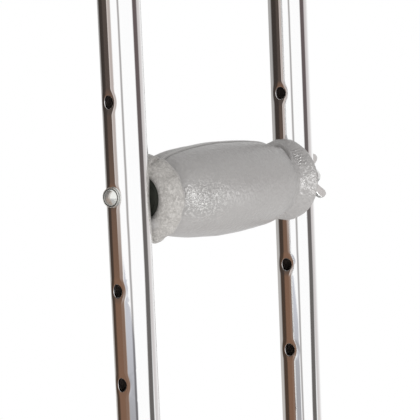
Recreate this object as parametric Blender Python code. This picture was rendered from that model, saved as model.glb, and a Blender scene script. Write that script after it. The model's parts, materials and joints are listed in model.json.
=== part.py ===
"""Folding underarm crutch, modelled upright with the rubber tip on the floor.

Metres, +Z up. The grip bolt runs along X, the front faces -Y, and the origin is under the middle of the tip.
"""

import math

import bmesh
import bpy
from mathutils import Matrix, Vector

# Fits
GAP = 0.0003
SWING_GAP = 0.0004

# Upright tubes
TUBE_RADIUS = 0.0111
TUBE_WALL = 0.0013
TUBE_SIDES = 24
HOLE_SIDES = 16
FRAME_HALF_WIDTH = 0.075
LEAN = 0.0065
BEND_TOP_HEIGHT = 0.665
BEND_LOW_HEIGHT = 0.505
BEND_RADIUS = 0.160
BEND_STEPS = 4
SOCKET_DEPTH = 0.040

# Hand grip and its bolt
GRIP_HEIGHT = 0.860
HOLE_PITCH = 0.0476
HOLES_ABOVE_GRIP = 1
HOLES_BELOW_GRIP = 3
BOLT_RADIUS = 0.0032
BOLT_RIM_RADIUS = 0.0052
BOLT_RIM_HEIGHT = 0.0009
BOLT_RIM_WIDTH = 0.0005
BOLT_DOME_HEIGHT = 0.0024
THREAD_PITCH = 0.0012
THREAD_DEPTH = 0.0004
THREAD_TURNS_SHOWN = 2
CORE_RADIUS = 0.0108
CORE_WALL = 0.0024
PLUG_DEPTH = 0.012
GRIP_BELLY_RADIUS = 0.0250
GRIP_SHOULDER_RADIUS = 0.0208
GRIP_VALLEY_RADIUS = 0.0180
GRIP_CUFF_RADIUS = 0.0227
GRIP_CUFF_LENGTH = 0.0085
GRIP_ROLL_LENGTH = 0.0125
GRIP_SEGMENTS = 32
WASHER_RADIUS = 0.0080
WASHER_THICKNESS = 0.0012
WING_HUB_RADIUS = 0.0056
WING_HUB_HEIGHT = 0.0072
WING_SPAN = 0.0260
WING_HEIGHT = 0.0138
WING_THICKNESS = 0.0024
WING_TURN_DEG = -14.0
BOLT_END_BEYOND_NUT = 0.0032

# Underarm bar and pad
BAR_DEPTH = 0.028
BAR_HEIGHT = 0.024
BAR_SAG = 0.007
BAR_WALL = 0.0030
BAR_RIBS = 5
BAR_END_MARGIN = 0.003
PAD_WIDTH = 0.056
PAD_CROWN = 0.030
PAD_SKIRT = 0.016
PAD_END = 0.014
PAD_END_ROUND = 0.022
PAD_DRAW_IN = 0.16
UNDERARM_HEIGHT = 1.290
TOP_RIVET_RADIUS = 0.0025
TOP_RIVET_HEAD_RADIUS = 0.0046
TOP_RIVET_HEAD_HEIGHT = 0.0018
TOP_RIVET_DROP = 0.012

# Hinge bracket and pivot
PIVOT_HEIGHT = 0.365
BRACKET_SHEET = 0.0025
BRACKET_FRONT = 0.0130
BRACKET_BELOW_PIVOT = 0.063
BRACKET_ABOVE_PIVOT = 0.120
BRACKET_CORNER = 0.009
WEB_GAP_BELOW_PIVOT = 0.022
WEB_GAP_ABOVE_PIVOT = 0.024
LOCK_REACH = 0.040
UPRIGHT_END_ABOVE_PIVOT = 0.055
RIVET_RADIUS = 0.0030
RIVET_SINK_RADIUS = 0.0048
RIVET_SINK_DEPTH = 0.0015
RIVET_HEAD_RADIUS = 0.0056
RIVET_HEAD_HEIGHT = 0.0025
RIVET_FIRST_ABOVE_END = 0.020
RIVET_SPACING = 0.030
PIVOT_RADIUS = 0.0040
PIVOT_HEAD_RADIUS = 0.0070
PIVOT_HEAD_HEIGHT = 0.0044
PIVOT_SOCKET_RADIUS = 0.0028
PIVOT_SOCKET_DEPTH = 0.0022
PIVOT_WASHER_RADIUS = 0.0080
PIVOT_WASHER_THICKNESS = 0.0014
PIVOT_NUT_FLATS = 0.0130
PIVOT_NUT_HEIGHT = 0.0055
PIVOT_NUT_COLLAR = 0.0020
PIVOT_END_BEYOND_NUT = 0.0010
BUSH_WALL = 0.0017

# Folding leg
LEG_TOP_ABOVE_PIVOT = 0.014
LEG_BOTTOM_HEIGHT = 0.150
CAP_HEIGHT = 0.0026
CAP_SPIGOT = 0.0050
COLLAR_WALL = 0.0022
COLLAR_SLEEVE = 0.016
COLLAR_LIP = 0.007

# Inner leg and height holes
INNER_WALL = 0.0012
INNER_TOP_ABOVE_BUTTON = 0.022
INNER_PLUG_HEIGHT = 0.003
INNER_PLUG_SPIGOT = 0.008
HEIGHT_HOLES = 5
HEIGHT_HOLE_PITCH = 0.0254
LOWEST_HEIGHT_HOLE = 0.178
HEIGHT_HOLE_IN_USE = 3

# Spring clips
BUTTON_RADIUS = 0.0031
BUTTON_PROUD = 0.0027
CLIP_SHEET = 0.0008
CLIP_WIDTH = 0.0070
CLIP_LENGTH = 0.040
CLIP_TAIL = 0.009

# Rubber tip
TIP_BASE_RADIUS = 0.0200
TIP_NECK_RADIUS = 0.0135
TIP_BASE_HEIGHT = 0.008
TIP_FLARE_TOP = 0.026
TIP_HEIGHT = 0.052
TIP_FLOOR = 0.009
TIP_RIBS = 3
TIP_RIB_DEPTH = 0.0012
TIP_GROOVE_DEPTH = 0.002
TIP_LAND = 0.0045
TIP_WASHER_THICKNESS = 0.0015

# Sizes that follow from the ones above
CHEEK_INNER = TUBE_RADIUS + SWING_GAP
CHEEK_OUTER = CHEEK_INNER + BRACKET_SHEET
LOWER_HALF_WIDTH = CHEEK_OUTER + GAP + TUBE_RADIUS
UPRIGHT_LOW_HEIGHT = PIVOT_HEIGHT + UPRIGHT_END_ABOVE_PIVOT
TUBE_BORE = TUBE_RADIUS - TUBE_WALL
INNER_RADIUS = TUBE_BORE - GAP
INNER_BORE = INNER_RADIUS - INNER_WALL
BOLT_HOLE_RADIUS = BOLT_RADIUS + GAP
BUTTON_HOLE_RADIUS = BUTTON_RADIUS + GAP
SOCKET_BORE = TUBE_RADIUS + GAP
BAR_TOP_HEIGHT = UNDERARM_HEIGHT - PAD_CROWN
UPRIGHT_TOP_HEIGHT = BAR_TOP_HEIGHT - BAR_WALL - BAR_SAG - GAP
SOCKET_LOW_HEIGHT = UPRIGHT_TOP_HEIGHT - SOCKET_DEPTH
BUTTON_HEIGHT = LOWEST_HEIGHT_HOLE + HEIGHT_HOLE_IN_USE * HEIGHT_HOLE_PITCH
INNER_TOP_HEIGHT = BUTTON_HEIGHT + INNER_TOP_ABOVE_BUTTON
INNER_LOW_HEIGHT = TIP_FLOOR + TIP_WASHER_THICKNESS + 2 * GAP
BUSH_RADIUS = PIVOT_RADIUS + GAP + BUSH_WALL
LEG_TOP_HEIGHT = PIVOT_HEIGHT + LEG_TOP_ABOVE_PIVOT
LOCK_HEIGHT = PIVOT_HEIGHT - LOCK_REACH
RIVET_HEIGHTS = {
    "lower": UPRIGHT_LOW_HEIGHT + RIVET_FIRST_ABOVE_END,
    "upper": UPRIGHT_LOW_HEIGHT + RIVET_FIRST_ABOVE_END + RIVET_SPACING,
}
SIDES = {"left": -1, "right": 1}

# Turns that lay a Z axis along another one
ALONG_X = Matrix.Rotation(math.radians(90), 4, "Y")
ALONG_Y = Matrix.Rotation(math.radians(-90), 4, "X")
UPRIGHT = Matrix.Identity(4)

# Finishes: colour, roughness, metallic
ALUMINIUM = ((0.80, 0.80, 0.81), 0.12, 1.0)
ZINC_STEEL = ((0.66, 0.66, 0.67), 0.28, 1.0)
SPRING_STEEL = ((0.45, 0.45, 0.47), 0.30, 1.0)
GREY_FOAM = ((0.39, 0.38, 0.36), 0.75, 0.0)
BLACK_PLASTIC = ((0.03, 0.03, 0.03), 0.45, 0.0)
GREY_PLASTIC = ((0.16, 0.16, 0.16), 0.50, 0.0)
NYLON = ((0.75, 0.74, 0.70), 0.50, 0.0)
GREY_RUBBER = ((0.12, 0.12, 0.12), 0.80, 0.0)


def clear_scene():
    for old in list(bpy.data.objects):
        bpy.data.objects.remove(old, do_unlink=True)


def finish(name, colour, roughness, metallic):
    material = bpy.data.materials.new(name)
    material.use_nodes = True
    shader = material.node_tree.nodes["Principled BSDF"]
    shader.inputs["Base Color"].default_value = (*colour, 1.0)
    shader.inputs["Roughness"].default_value = roughness
    shader.inputs["Metallic"].default_value = metallic
    return material


def mesh_object(name, bm, turn=UPRIGHT, at=(0.0, 0.0, 0.0)):
    mesh = bpy.data.meshes.new(name)
    bm.to_mesh(mesh)
    bm.free()
    mesh.shade_smooth()
    mesh.set_sharp_from_angle(angle=math.radians(35))
    made = bpy.data.objects.new(name, mesh)
    made.rotation_euler = turn.to_euler()
    made.location = at
    bpy.context.scene.collection.objects.link(made)
    return made


def piece(name, bm, look, turn=UPRIGHT, at=(0.0, 0.0, 0.0)):
    made = mesh_object(name, bm, turn, at)
    made.data.materials.append(finish(name, *look))
    return made


def combine(body, tool, operation):
    tool.hide_render = True
    tool.display_type = "WIRE"
    change = body.modifiers.new(tool.name, "BOOLEAN")
    change.operation = operation
    change.solver = "EXACT"
    change.object = tool


def cut(body, tool):
    combine(body, tool, "DIFFERENCE")


def fuse(body, tool):
    combine(body, tool, "UNION")


def joint_empty(name, at):
    pivot = bpy.data.objects.new(name, None)
    pivot.location = at
    bpy.context.scene.collection.objects.link(pivot)
    return pivot


def carry(pivot, *pieces):
    for one in pieces:
        one.parent = pivot
        one.location = Vector(one.location) - Vector(pivot.location)


def turned(profile, segments, closed=True):
    """Spins (radius, height) points about Z. A closed profile is a ring, an open one starts and ends on the axis."""
    bm = bmesh.new()
    points = [bm.verts.new((radius, 0.0, height)) for radius, height in profile]
    follow = points[1:] + points[:1] if closed else points[1:]
    edges = [bm.edges.new(pair) for pair in zip(points, follow)]
    bmesh.ops.spin(
        bm,
        geom=points + edges,
        cent=(0.0, 0.0, 0.0),
        axis=(0.0, 0.0, 1.0),
        angle=math.tau,
        steps=segments,
        use_merge=True,
    )
    bmesh.ops.remove_doubles(bm, verts=bm.verts, dist=1e-6)
    bmesh.ops.recalc_face_normals(bm, faces=bm.faces)
    return bm


def tube(outer, inner, low, high, segments):
    return turned([(inner, low), (outer, low), (outer, high), (inner, high)], segments)


def rod(radius, low, high, segments):
    bm = bmesh.new()
    bmesh.ops.create_cone(
        bm,
        cap_ends=True,
        segments=segments,
        radius1=radius,
        radius2=radius,
        depth=high - low,
        matrix=Matrix.Translation((0.0, 0.0, (low + high) / 2)),
    )
    return bm


def block(low, high):
    bm = bmesh.new()
    size = Vector(high) - Vector(low)
    middle = (Vector(high) + Vector(low)) / 2
    bmesh.ops.create_cube(bm, size=1.0, matrix=Matrix.Translation(middle) @ Matrix.Diagonal((*size, 1.0)))
    return bm


def dome(radius, height, steps=4):
    """Points of a quarter ellipse from its rim up to the axis."""
    turns = [math.radians(90) * step / steps for step in range(steps + 1)]
    return [(radius * math.cos(turn), height * math.sin(turn)) for turn in turns]


def rounded_route(corners, radius, steps):
    """A route through the corners with each inner corner replaced by an arc."""
    route = [Vector(corners[0])]
    for before, corner, after in zip(corners, corners[1:], corners[2:]):
        corner = Vector(corner)
        to_before = (Vector(before) - corner).normalized()
        to_after = (Vector(after) - corner).normalized()
        half_angle = to_before.angle(to_after) / 2
        centre = corner + (to_before + to_after).normalized() * radius / math.sin(half_angle)
        start = corner + to_before * radius / math.tan(half_angle) - centre
        end = corner + to_after * radius / math.tan(half_angle) - centre
        for step in range(steps + 1):
            route.append(centre + radius * start.slerp(end, step / steps))
    route.append(Vector(corners[-1]))
    return route


def smooth_curve(knots, steps):
    """Catmull-Rom points through the knots."""
    ends = [knots[0]] + list(knots) + [knots[-1]]
    curve = []
    for a, b, c, d in zip(ends, ends[1:], ends[2:], ends[3:]):
        for step in range(steps):
            t = step / steps
            curve.append(
                tuple(
                    0.5 * (2 * q + (r - p) * t + (2 * p - 5 * q + 4 * r - s) * t**2 + (3 * q - p - 3 * r + s) * t**3)
                    for p, q, r, s in zip(a, b, c, d)
                )
            )
    curve.append(tuple(knots[-1]))
    return curve


def upright_x(height):
    """Distance of an upright's axis from the middle plane in its straight upper run."""
    return FRAME_HALF_WIDTH + LEAN * (height - GRIP_HEIGHT)


def bent_tube(name, route, radius, wall, look):
    """A bevelled curve along the route, turned into a mesh and given its wall."""
    curve = bpy.data.curves.new(name + "_route", "CURVE")
    curve.dimensions = "3D"
    curve.bevel_depth = radius
    curve.bevel_resolution = (TUBE_SIDES - 4) // 2
    spline = curve.splines.new("POLY")
    spline.points.add(len(route) - 1)
    for point, place in zip(spline.points, route):
        point.co = (*place, 1.0)
    guide = bpy.data.objects.new(name + "_route", curve)
    bpy.context.scene.collection.objects.link(guide)
    bpy.context.view_layer.update()
    evaluated = guide.evaluated_get(bpy.context.evaluated_depsgraph_get())
    bm = bmesh.new()
    bm.from_mesh(bpy.data.meshes.new_from_object(evaluated))
    bpy.data.objects.remove(guide, do_unlink=True)
    bmesh.ops.recalc_face_normals(bm, faces=bm.faces)
    made = piece(name, bm, look)
    shell = made.modifiers.new("Wall", "SOLIDIFY")
    shell.thickness = wall
    shell.offset = -1.0
    shell.use_even_offset = True
    return made


def hole_bar(name, radius, length, turn, at):
    """A cutter for a drilled hole, centred on the given point."""
    bm = rod(radius, -length / 2, length / 2, HOLE_SIDES)
    half_side = Matrix.Rotation(math.pi / HOLE_SIDES, 4, "Z")
    bmesh.ops.transform(bm, matrix=half_side, verts=bm.verts)
    return mesh_object(name, bm, turn, at)


def upright(side_name, side):
    name = "upright_" + side_name
    corners = [
        (side * LOWER_HALF_WIDTH, 0.0, UPRIGHT_LOW_HEIGHT),
        (side * LOWER_HALF_WIDTH, 0.0, BEND_LOW_HEIGHT),
        (side * upright_x(BEND_TOP_HEIGHT), 0.0, BEND_TOP_HEIGHT),
        (side * upright_x(UPRIGHT_TOP_HEIGHT), 0.0, UPRIGHT_TOP_HEIGHT),
    ]
    made = bent_tube(name, rounded_route(corners, BEND_RADIUS, BEND_STEPS), TUBE_RADIUS, TUBE_WALL, ALUMINIUM)
    across = 3 * TUBE_RADIUS
    for number in range(-HOLES_BELOW_GRIP, HOLES_ABOVE_GRIP + 1):
        height = GRIP_HEIGHT + number * HOLE_PITCH
        at = (side * upright_x(height), 0.0, height)
        cut(made, hole_bar(f"{name}_grip_hole_{number}", BOLT_HOLE_RADIUS, across, ALONG_X, at))
    for level, height in RIVET_HEIGHTS.items():
        at = (side * LOWER_HALF_WIDTH, 0.0, height)
        cut(made, hole_bar(f"{name}_rivet_hole_{level}", RIVET_RADIUS + GAP, across, ALONG_X, at))
    top_height = SOCKET_LOW_HEIGHT + TOP_RIVET_DROP
    at = (side * upright_x(top_height), 0.0, top_height)
    cut(made, hole_bar(name + "_top_hole", TOP_RIVET_RADIUS + GAP, across, ALONG_Y, at))
    return made


def upright_plug(side_name, side):
    spigot = TUBE_BORE - GAP
    profile = [(0.0, -CAP_HEIGHT)]
    profile += [(TUBE_RADIUS - 0.3 * CAP_HEIGHT, -CAP_HEIGHT), (TUBE_RADIUS, -0.6 * CAP_HEIGHT)]
    profile += [(TUBE_RADIUS, -GAP), (spigot, -GAP), (spigot, CAP_SPIGOT), (0.0, CAP_SPIGOT)]
    at = (side * LOWER_HALF_WIDTH, 0.0, UPRIGHT_LOW_HEIGHT)
    return piece("upright_plug_" + side_name, turned(profile, TUBE_SIDES, closed=False), BLACK_PLASTIC, at=at)


def grip_half_length():
    """From the middle to where the cuffs meet the leaning tubes."""
    return FRAME_HALF_WIDTH - LEAN * GRIP_CUFF_RADIUS - TUBE_RADIUS - GAP


def grip_belly(end):
    """Points of the sleeve from beside a valley to the middle."""
    return [
        (0.5 * (GRIP_VALLEY_RADIUS + GRIP_SHOULDER_RADIUS), 0.76 * end),
        (GRIP_SHOULDER_RADIUS, 0.69 * end),
        (GRIP_BELLY_RADIUS - 0.0016, 0.40 * end),
        (GRIP_BELLY_RADIUS, 0.0),
    ]


def hand_grip():
    """A turned foam sleeve: a long belly, a thick rolled cuff on the left and a bell-shaped one on the right."""
    end = grip_half_length()
    bore = CORE_RADIUS + GAP
    cuff = GRIP_CUFF_RADIUS
    lip = GRIP_CUFF_LENGTH
    roll = GRIP_ROLL_LENGTH
    bell = [
        (bore, end - 0.15 * lip),
        (bore + 0.22 * (cuff - bore), end),
        (bore + 0.75 * (cuff - bore), end - 0.04 * lip),
        (cuff, end - 0.35 * lip),
        (0.5 * (cuff + GRIP_VALLEY_RADIUS), end - 0.85 * lip),
        (GRIP_VALLEY_RADIUS, end - 1.22 * lip),
    ]
    ring = [
        (bore, end - 0.10 * roll),
        (bore + 0.22 * (cuff - bore), end),
        (bore + 0.65 * (cuff - bore), end - 0.06 * roll),
        (cuff, end - 0.48 * roll),
        (cuff - 0.25 * (cuff - GRIP_VALLEY_RADIUS), end - 0.76 * roll),
        (GRIP_VALLEY_RADIUS, end - 1.04 * roll),
    ]
    right = smooth_curve(bell + grip_belly(end), 2)
    left = [(radius, -along) for radius, along in reversed(smooth_curve(ring + grip_belly(end), 2)[:-1])]
    return piece("hand_grip", turned(right + left, GRIP_SEGMENTS), GREY_FOAM, ALONG_X, (0.0, 0.0, GRIP_HEIGHT))


def grip_core():
    end = FRAME_HALF_WIDTH - LEAN * CORE_RADIUS - TUBE_RADIUS - GAP
    made = tube(CORE_RADIUS, CORE_RADIUS - CORE_WALL, -end, end, 24)
    return piece("grip_core", made, BLACK_PLASTIC, ALONG_X, (0.0, 0.0, GRIP_HEIGHT))


def grip_plug(side_name, side):
    end = FRAME_HALF_WIDTH - LEAN * CORE_RADIUS - TUBE_RADIUS - GAP
    made = tube(CORE_RADIUS - CORE_WALL - GAP, BOLT_HOLE_RADIUS, -PLUG_DEPTH / 2, PLUG_DEPTH / 2, 24)
    at = (side * (end - PLUG_DEPTH / 2), 0.0, GRIP_HEIGHT)
    return piece("grip_plug_" + side_name, made, BLACK_PLASTIC, ALONG_X, at)


def tube_outside():
    """Where the grip bolt leaves the outer side of an upright."""
    return FRAME_HALF_WIDTH + TUBE_RADIUS


def grip_bolt():
    """Low domed head inside a raised rim on the left tube, plain shank, threaded end beyond the wing nut."""
    seat = tube_outside() + GAP
    end = wing_seat() + WING_HUB_HEIGHT + BOLT_END_BEYOND_NUT
    rim_top = seat + BOLT_RIM_HEIGHT
    root = BOLT_RADIUS - THREAD_DEPTH
    profile = [(0.0, end), (0.75 * BOLT_RADIUS, end), (BOLT_RADIUS, end - 0.4 * BOLT_RADIUS)]
    for number in range(THREAD_TURNS_SHOWN):
        crest = end - 0.4 * BOLT_RADIUS - number * THREAD_PITCH
        profile += [(root, crest - 0.5 * THREAD_PITCH), (BOLT_RADIUS, crest - THREAD_PITCH)]
    profile += [(BOLT_RADIUS, -seat), (BOLT_RIM_RADIUS, -seat), (BOLT_RIM_RADIUS, -rim_top + 0.3 * BOLT_RIM_WIDTH)]
    profile += [(BOLT_RIM_RADIUS - 0.4 * BOLT_RIM_WIDTH, -rim_top)]
    crown = dome(BOLT_RIM_RADIUS - BOLT_RIM_WIDTH, BOLT_DOME_HEIGHT, 5)
    groove = seat + 0.5 * BOLT_RIM_HEIGHT
    profile += [(radius, -groove - height) for radius, height in crown[:-1]]
    profile.append((0.0, -groove - BOLT_DOME_HEIGHT))
    return piece("grip_bolt", turned(profile, 24, closed=False), ZINC_STEEL, ALONG_X, (0.0, 0.0, GRIP_HEIGHT))


def wing_washer():
    low = tube_outside() + GAP
    made = tube(WASHER_RADIUS, BOLT_HOLE_RADIUS, low, low + WASHER_THICKNESS, 24)
    return piece("wing_washer", made, ZINC_STEEL, ALONG_X, (0.0, 0.0, GRIP_HEIGHT))


def wing_seat():
    return tube_outside() + 2 * GAP + WASHER_THICKNESS


def wing_nut():
    """A tapered hub with two ear-shaped wings that rise outward past it."""
    top_radius = 0.8 * WING_HUB_RADIUS
    profile = [(BOLT_HOLE_RADIUS, 0.0), (WING_HUB_RADIUS, 0.0), (WING_HUB_RADIUS, 0.25 * WING_HUB_HEIGHT)]
    profile += [(top_radius, WING_HUB_HEIGHT), (BOLT_HOLE_RADIUS, WING_HUB_HEIGHT)]
    at = (wing_seat(), 0.0, GRIP_HEIGHT)
    spin = Matrix.Rotation(math.radians(WING_TURN_DEG), 4, "X") @ ALONG_X
    made = piece("wing_nut", turned(profile, 24), ZINC_STEEL, spin, at)
    reach = WING_SPAN / 2
    root = (BOLT_HOLE_RADIUS + top_radius) / 2
    ear = [
        (root, 0.30 * WING_HUB_HEIGHT),
        (0.62 * reach, 0.26 * WING_HEIGHT),
        (0.90 * reach, 0.44 * WING_HEIGHT),
        (reach, 0.72 * WING_HEIGHT),
        (0.87 * reach, 0.98 * WING_HEIGHT),
        (0.68 * reach, 0.95 * WING_HEIGHT),
        (0.50 * reach, 0.70 * WING_HEIGHT),
        (root, 0.90 * WING_HUB_HEIGHT),
    ]
    for number, way in enumerate((-1, 1)):
        bm = extruded_xz([(way * x, z) for x, z in smooth_curve(ear, 2)], WING_THICKNESS)
        fuse(made, mesh_object(f"wing_{number}", bm, spin, at))
    return made


def bar_half_length():
    return upright_x(UPRIGHT_TOP_HEIGHT) + SOCKET_BORE + BAR_WALL + BAR_END_MARGIN


def bar_outline(extra, low):
    """Outline in XZ of the cross-bar: a sagging top between rounded ends, down to the given height."""
    half = bar_half_length() + extra
    top = BAR_TOP_HEIGHT + extra
    corner = 0.25 * BAR_HEIGHT
    steps = 12
    outline = [(-half, low)]
    for step in range(steps + 1):
        along = -1.0 + 2.0 * step / steps
        sag = BAR_SAG * math.cos(math.radians(90) * along) ** 2
        edge = corner * max(0.0, abs(along) - 0.9) * 10.0 * 0.5
        outline.append((along * half, top - sag - edge))
    outline.append((half, low))
    return outline


def extruded_xz(outline, depth):
    """A plate with the given XZ outline, as thick as depth along Y and centred on it."""
    bm = bmesh.new()
    points = [bm.verts.new((x, -depth / 2, z)) for x, z in outline]
    face = bm.faces.new(points)
    grown = bmesh.ops.extrude_face_region(bm, geom=[face])
    moved = [item for item in grown["geom"] if isinstance(item, bmesh.types.BMVert)]
    bmesh.ops.translate(bm, verts=moved, vec=(0.0, depth, 0.0))
    bmesh.ops.recalc_face_normals(bm, faces=bm.faces)
    return bm


def underarm_bar():
    """A moulded channel, open below and ribbed across, with a socket at each end for a tube."""
    low = BAR_TOP_HEIGHT - BAR_HEIGHT
    made = piece("underarm_bar", extruded_xz(bar_outline(0.0, low), BAR_DEPTH), GREY_PLASTIC)
    socket_x = upright_x(UPRIGHT_TOP_HEIGHT)
    inside = socket_x - SOCKET_BORE - BAR_WALL
    bay = 2 * inside / (BAR_RIBS + 1)
    pocket = BAR_DEPTH / 2 - BAR_WALL
    roof = BAR_TOP_HEIGHT - BAR_SAG - BAR_WALL
    for number in range(BAR_RIBS + 1):
        left = -inside + number * bay + BAR_WALL / 2
        right = left + bay - BAR_WALL
        bm = block((left, -pocket, low - 0.01), (right, pocket, roof))
        cut(made, mesh_object(f"bar_pocket_{number}", bm))
    for side_name, side in SIDES.items():
        lean = Matrix.Rotation(side * math.atan(LEAN), 4, "Y")
        at = (side * upright_x(SOCKET_LOW_HEIGHT), 0.0, SOCKET_LOW_HEIGHT)
        boss = rod(BAR_DEPTH / 2, 0.0, SOCKET_DEPTH, TUBE_SIDES)
        fuse(made, mesh_object("socket_boss_" + side_name, boss, lean, at))
        bore = rod(SOCKET_BORE, -0.01, SOCKET_DEPTH + GAP, TUBE_SIDES)
        cut(made, mesh_object("socket_bore_" + side_name, bore, lean, at))
        height = SOCKET_LOW_HEIGHT + TOP_RIVET_DROP
        at = (side * upright_x(height), 0.0, height)
        cut(made, hole_bar("socket_rivet_" + side_name, TOP_RIVET_RADIUS + GAP, 2 * BAR_DEPTH, ALONG_Y, at))
    return made


def top_rivet(side_name, side):
    """A rivet from front to back through the socket and the tube in it."""
    seat = BAR_DEPTH / 2 + GAP
    cap = dome(TOP_RIVET_HEAD_RADIUS, TOP_RIVET_HEAD_HEIGHT, 3)
    profile = [(radius, -seat - height) for radius, height in reversed(cap[:-1])]
    profile = [(0.0, -seat - TOP_RIVET_HEAD_HEIGHT)] + profile
    profile += [(TOP_RIVET_RADIUS, -seat), (TOP_RIVET_RADIUS, seat)]
    profile += [(radius, seat + height) for radius, height in cap[:-1]]
    profile.append((0.0, seat + TOP_RIVET_HEAD_HEIGHT))
    height = SOCKET_LOW_HEIGHT + TOP_RIVET_DROP
    at = (side * upright_x(height), 0.0, height)
    return piece("top_rivet_" + side_name, turned(profile, 16, closed=False), ZINC_STEEL, ALONG_Y, at)


def underarm_pad():
    """A crowned foam cushion over the bar: saddle top, full sides drawn in below, round ends, open underneath."""
    half = bar_half_length() + PAD_END
    top = BAR_TOP_HEIGHT + PAD_CROWN
    bottom = BAR_TOP_HEIGHT - PAD_SKIRT
    stations = 20
    around = 28
    bm = bmesh.new()
    rings = []
    for number in range(stations + 1):
        along = math.sin(math.radians(-90 + 180 * number / stations))
        into_end = max(0.0, (abs(along) * half - half + PAD_END_ROUND) / PAD_END_ROUND)
        fill = 1.0 - 0.7 * (1.0 - math.sqrt(max(0.0, 1.0 - into_end**2)))
        saddle = BAR_SAG * math.cos(math.radians(90) * along) ** 2
        middle = (top + bottom) / 2 - saddle / 2
        high = (top - bottom - saddle) / 2 * fill
        wide = PAD_WIDTH / 2 * fill
        ring = []
        for corner in range(around):
            angle = math.tau * corner / around
            side = math.copysign(abs(math.cos(angle)) ** 0.75, math.cos(angle))
            rise = math.copysign(abs(math.sin(angle)) ** 0.85, math.sin(angle))
            draw_in = 1.0 - PAD_DRAW_IN * max(0.0, -rise)
            ring.append(bm.verts.new((along * half, wide * side * draw_in, middle + high * rise)))
        rings.append([bm.edges.new(pair) for pair in zip(ring, ring[1:] + ring[:1])])
    for one, other in zip(rings, rings[1:]):
        bmesh.ops.bridge_loops(bm, edges=one + other)
    bmesh.ops.holes_fill(bm, edges=rings[0] + rings[-1])
    bmesh.ops.recalc_face_normals(bm, faces=bm.faces)
    made = piece("underarm_pad", bm, GREY_FOAM)
    pocket = extruded_xz(bar_outline(GAP, bottom - 0.02), BAR_DEPTH + 2 * GAP)
    cut(made, mesh_object("pad_pocket", pocket))
    return made


def hinge_bracket():
    """One pressed sheet: two cheeks joined behind by a web with a window where the leg's top end swings."""
    low = PIVOT_HEIGHT - BRACKET_BELOW_PIVOT
    high = PIVOT_HEIGHT + BRACKET_ABOVE_PIVOT
    back = CHEEK_OUTER
    front = -BRACKET_FRONT
    corners = [(0.0, back, high), (0.0, front, high), (0.0, front, low), (0.0, back, low)]
    bm = bmesh.new()
    points = [bm.verts.new((-CHEEK_OUTER, y, z)) for x, y, z in rounded_route(corners, BRACKET_CORNER, 4)]
    grown = bmesh.ops.extrude_face_region(bm, geom=[bm.faces.new(points)])
    moved = [item for item in grown["geom"] if isinstance(item, bmesh.types.BMVert)]
    bmesh.ops.translate(bm, verts=moved, vec=(2 * CHEEK_OUTER, 0.0, 0.0))
    bmesh.ops.recalc_face_normals(bm, faces=bm.faces)
    bm.edges.ensure_lookup_table()
    folds = [
        edge
        for edge in bm.edges
        if all(abs(vert.co.y - back) < 1e-6 for vert in edge.verts)
        and abs(edge.verts[0].co.x - edge.verts[1].co.x) < 1e-6
    ]
    bmesh.ops.bevel(
        bm, geom=folds, offset=BRACKET_SHEET, segments=3, profile=0.5, affect="EDGES", material=-1
    )
    made = piece("hinge_bracket", bm, ZINC_STEEL)
    channel = block((-CHEEK_INNER, front - 0.01, low - 0.01), (CHEEK_INNER, CHEEK_INNER, high + 0.01))
    cut(made, mesh_object("bracket_channel", channel))
    window = block(
        (-CHEEK_INNER, 0.0, PIVOT_HEIGHT - WEB_GAP_BELOW_PIVOT),
        (CHEEK_INNER, 2 * back, PIVOT_HEIGHT + WEB_GAP_ABOVE_PIVOT),
    )
    cut(made, mesh_object("bracket_window", window))
    across = 4 * CHEEK_OUTER
    cut(made, hole_bar("bracket_pivot_hole", PIVOT_RADIUS + GAP, across, ALONG_X, (0.0, 0.0, PIVOT_HEIGHT)))
    for place, height in {"open": LOCK_HEIGHT, "folded": PIVOT_HEIGHT + LOCK_REACH}.items():
        at = (CHEEK_OUTER, 0.0, height)
        cut(made, hole_bar("bracket_lock_hole_" + place, BUTTON_HOLE_RADIUS, CHEEK_OUTER, ALONG_X, at))
    hole = RIVET_RADIUS + GAP
    sink = RIVET_SINK_RADIUS + GAP
    sink_end = CHEEK_INNER + RIVET_SINK_DEPTH
    for level, height in RIVET_HEIGHTS.items():
        profile = [(0.0, -across), (hole, -across), (hole, -sink_end), (sink, -CHEEK_INNER)]
        profile += [(sink, CHEEK_INNER), (hole, sink_end), (hole, across), (0.0, across)]
        drill = turned(profile, HOLE_SIDES, closed=False)
        cut(made, mesh_object("bracket_rivet_hole_" + level, drill, ALONG_X, (0.0, 0.0, height)))
    return made


def bracket_rivet(side_name, side, level, height):
    """Countersunk flush inside the cheek, domed outside the tube."""
    flush = CHEEK_INNER + GAP / 2
    seat = LOWER_HALF_WIDTH + TUBE_RADIUS + GAP
    cap = dome(RIVET_HEAD_RADIUS, RIVET_HEAD_HEIGHT, 3)
    profile = [(0.0, flush), (RIVET_SINK_RADIUS, flush), (RIVET_RADIUS, flush + RIVET_SINK_DEPTH)]
    profile += [(RIVET_RADIUS, seat)]
    profile += [(radius, seat + rise) for radius, rise in cap[:-1]]
    profile.append((0.0, seat + RIVET_HEAD_HEIGHT))
    turn = Matrix.Rotation(side * math.radians(90), 4, "Y")
    name = f"bracket_rivet_{side_name}_{level}"
    return piece(name, turned(profile, 16, closed=False), ZINC_STEEL, turn, (0.0, 0.0, height))


def pivot_seat():
    """Outer face of the washers that lie on the cheeks."""
    return CHEEK_OUTER + GAP + PIVOT_WASHER_THICKNESS


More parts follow.
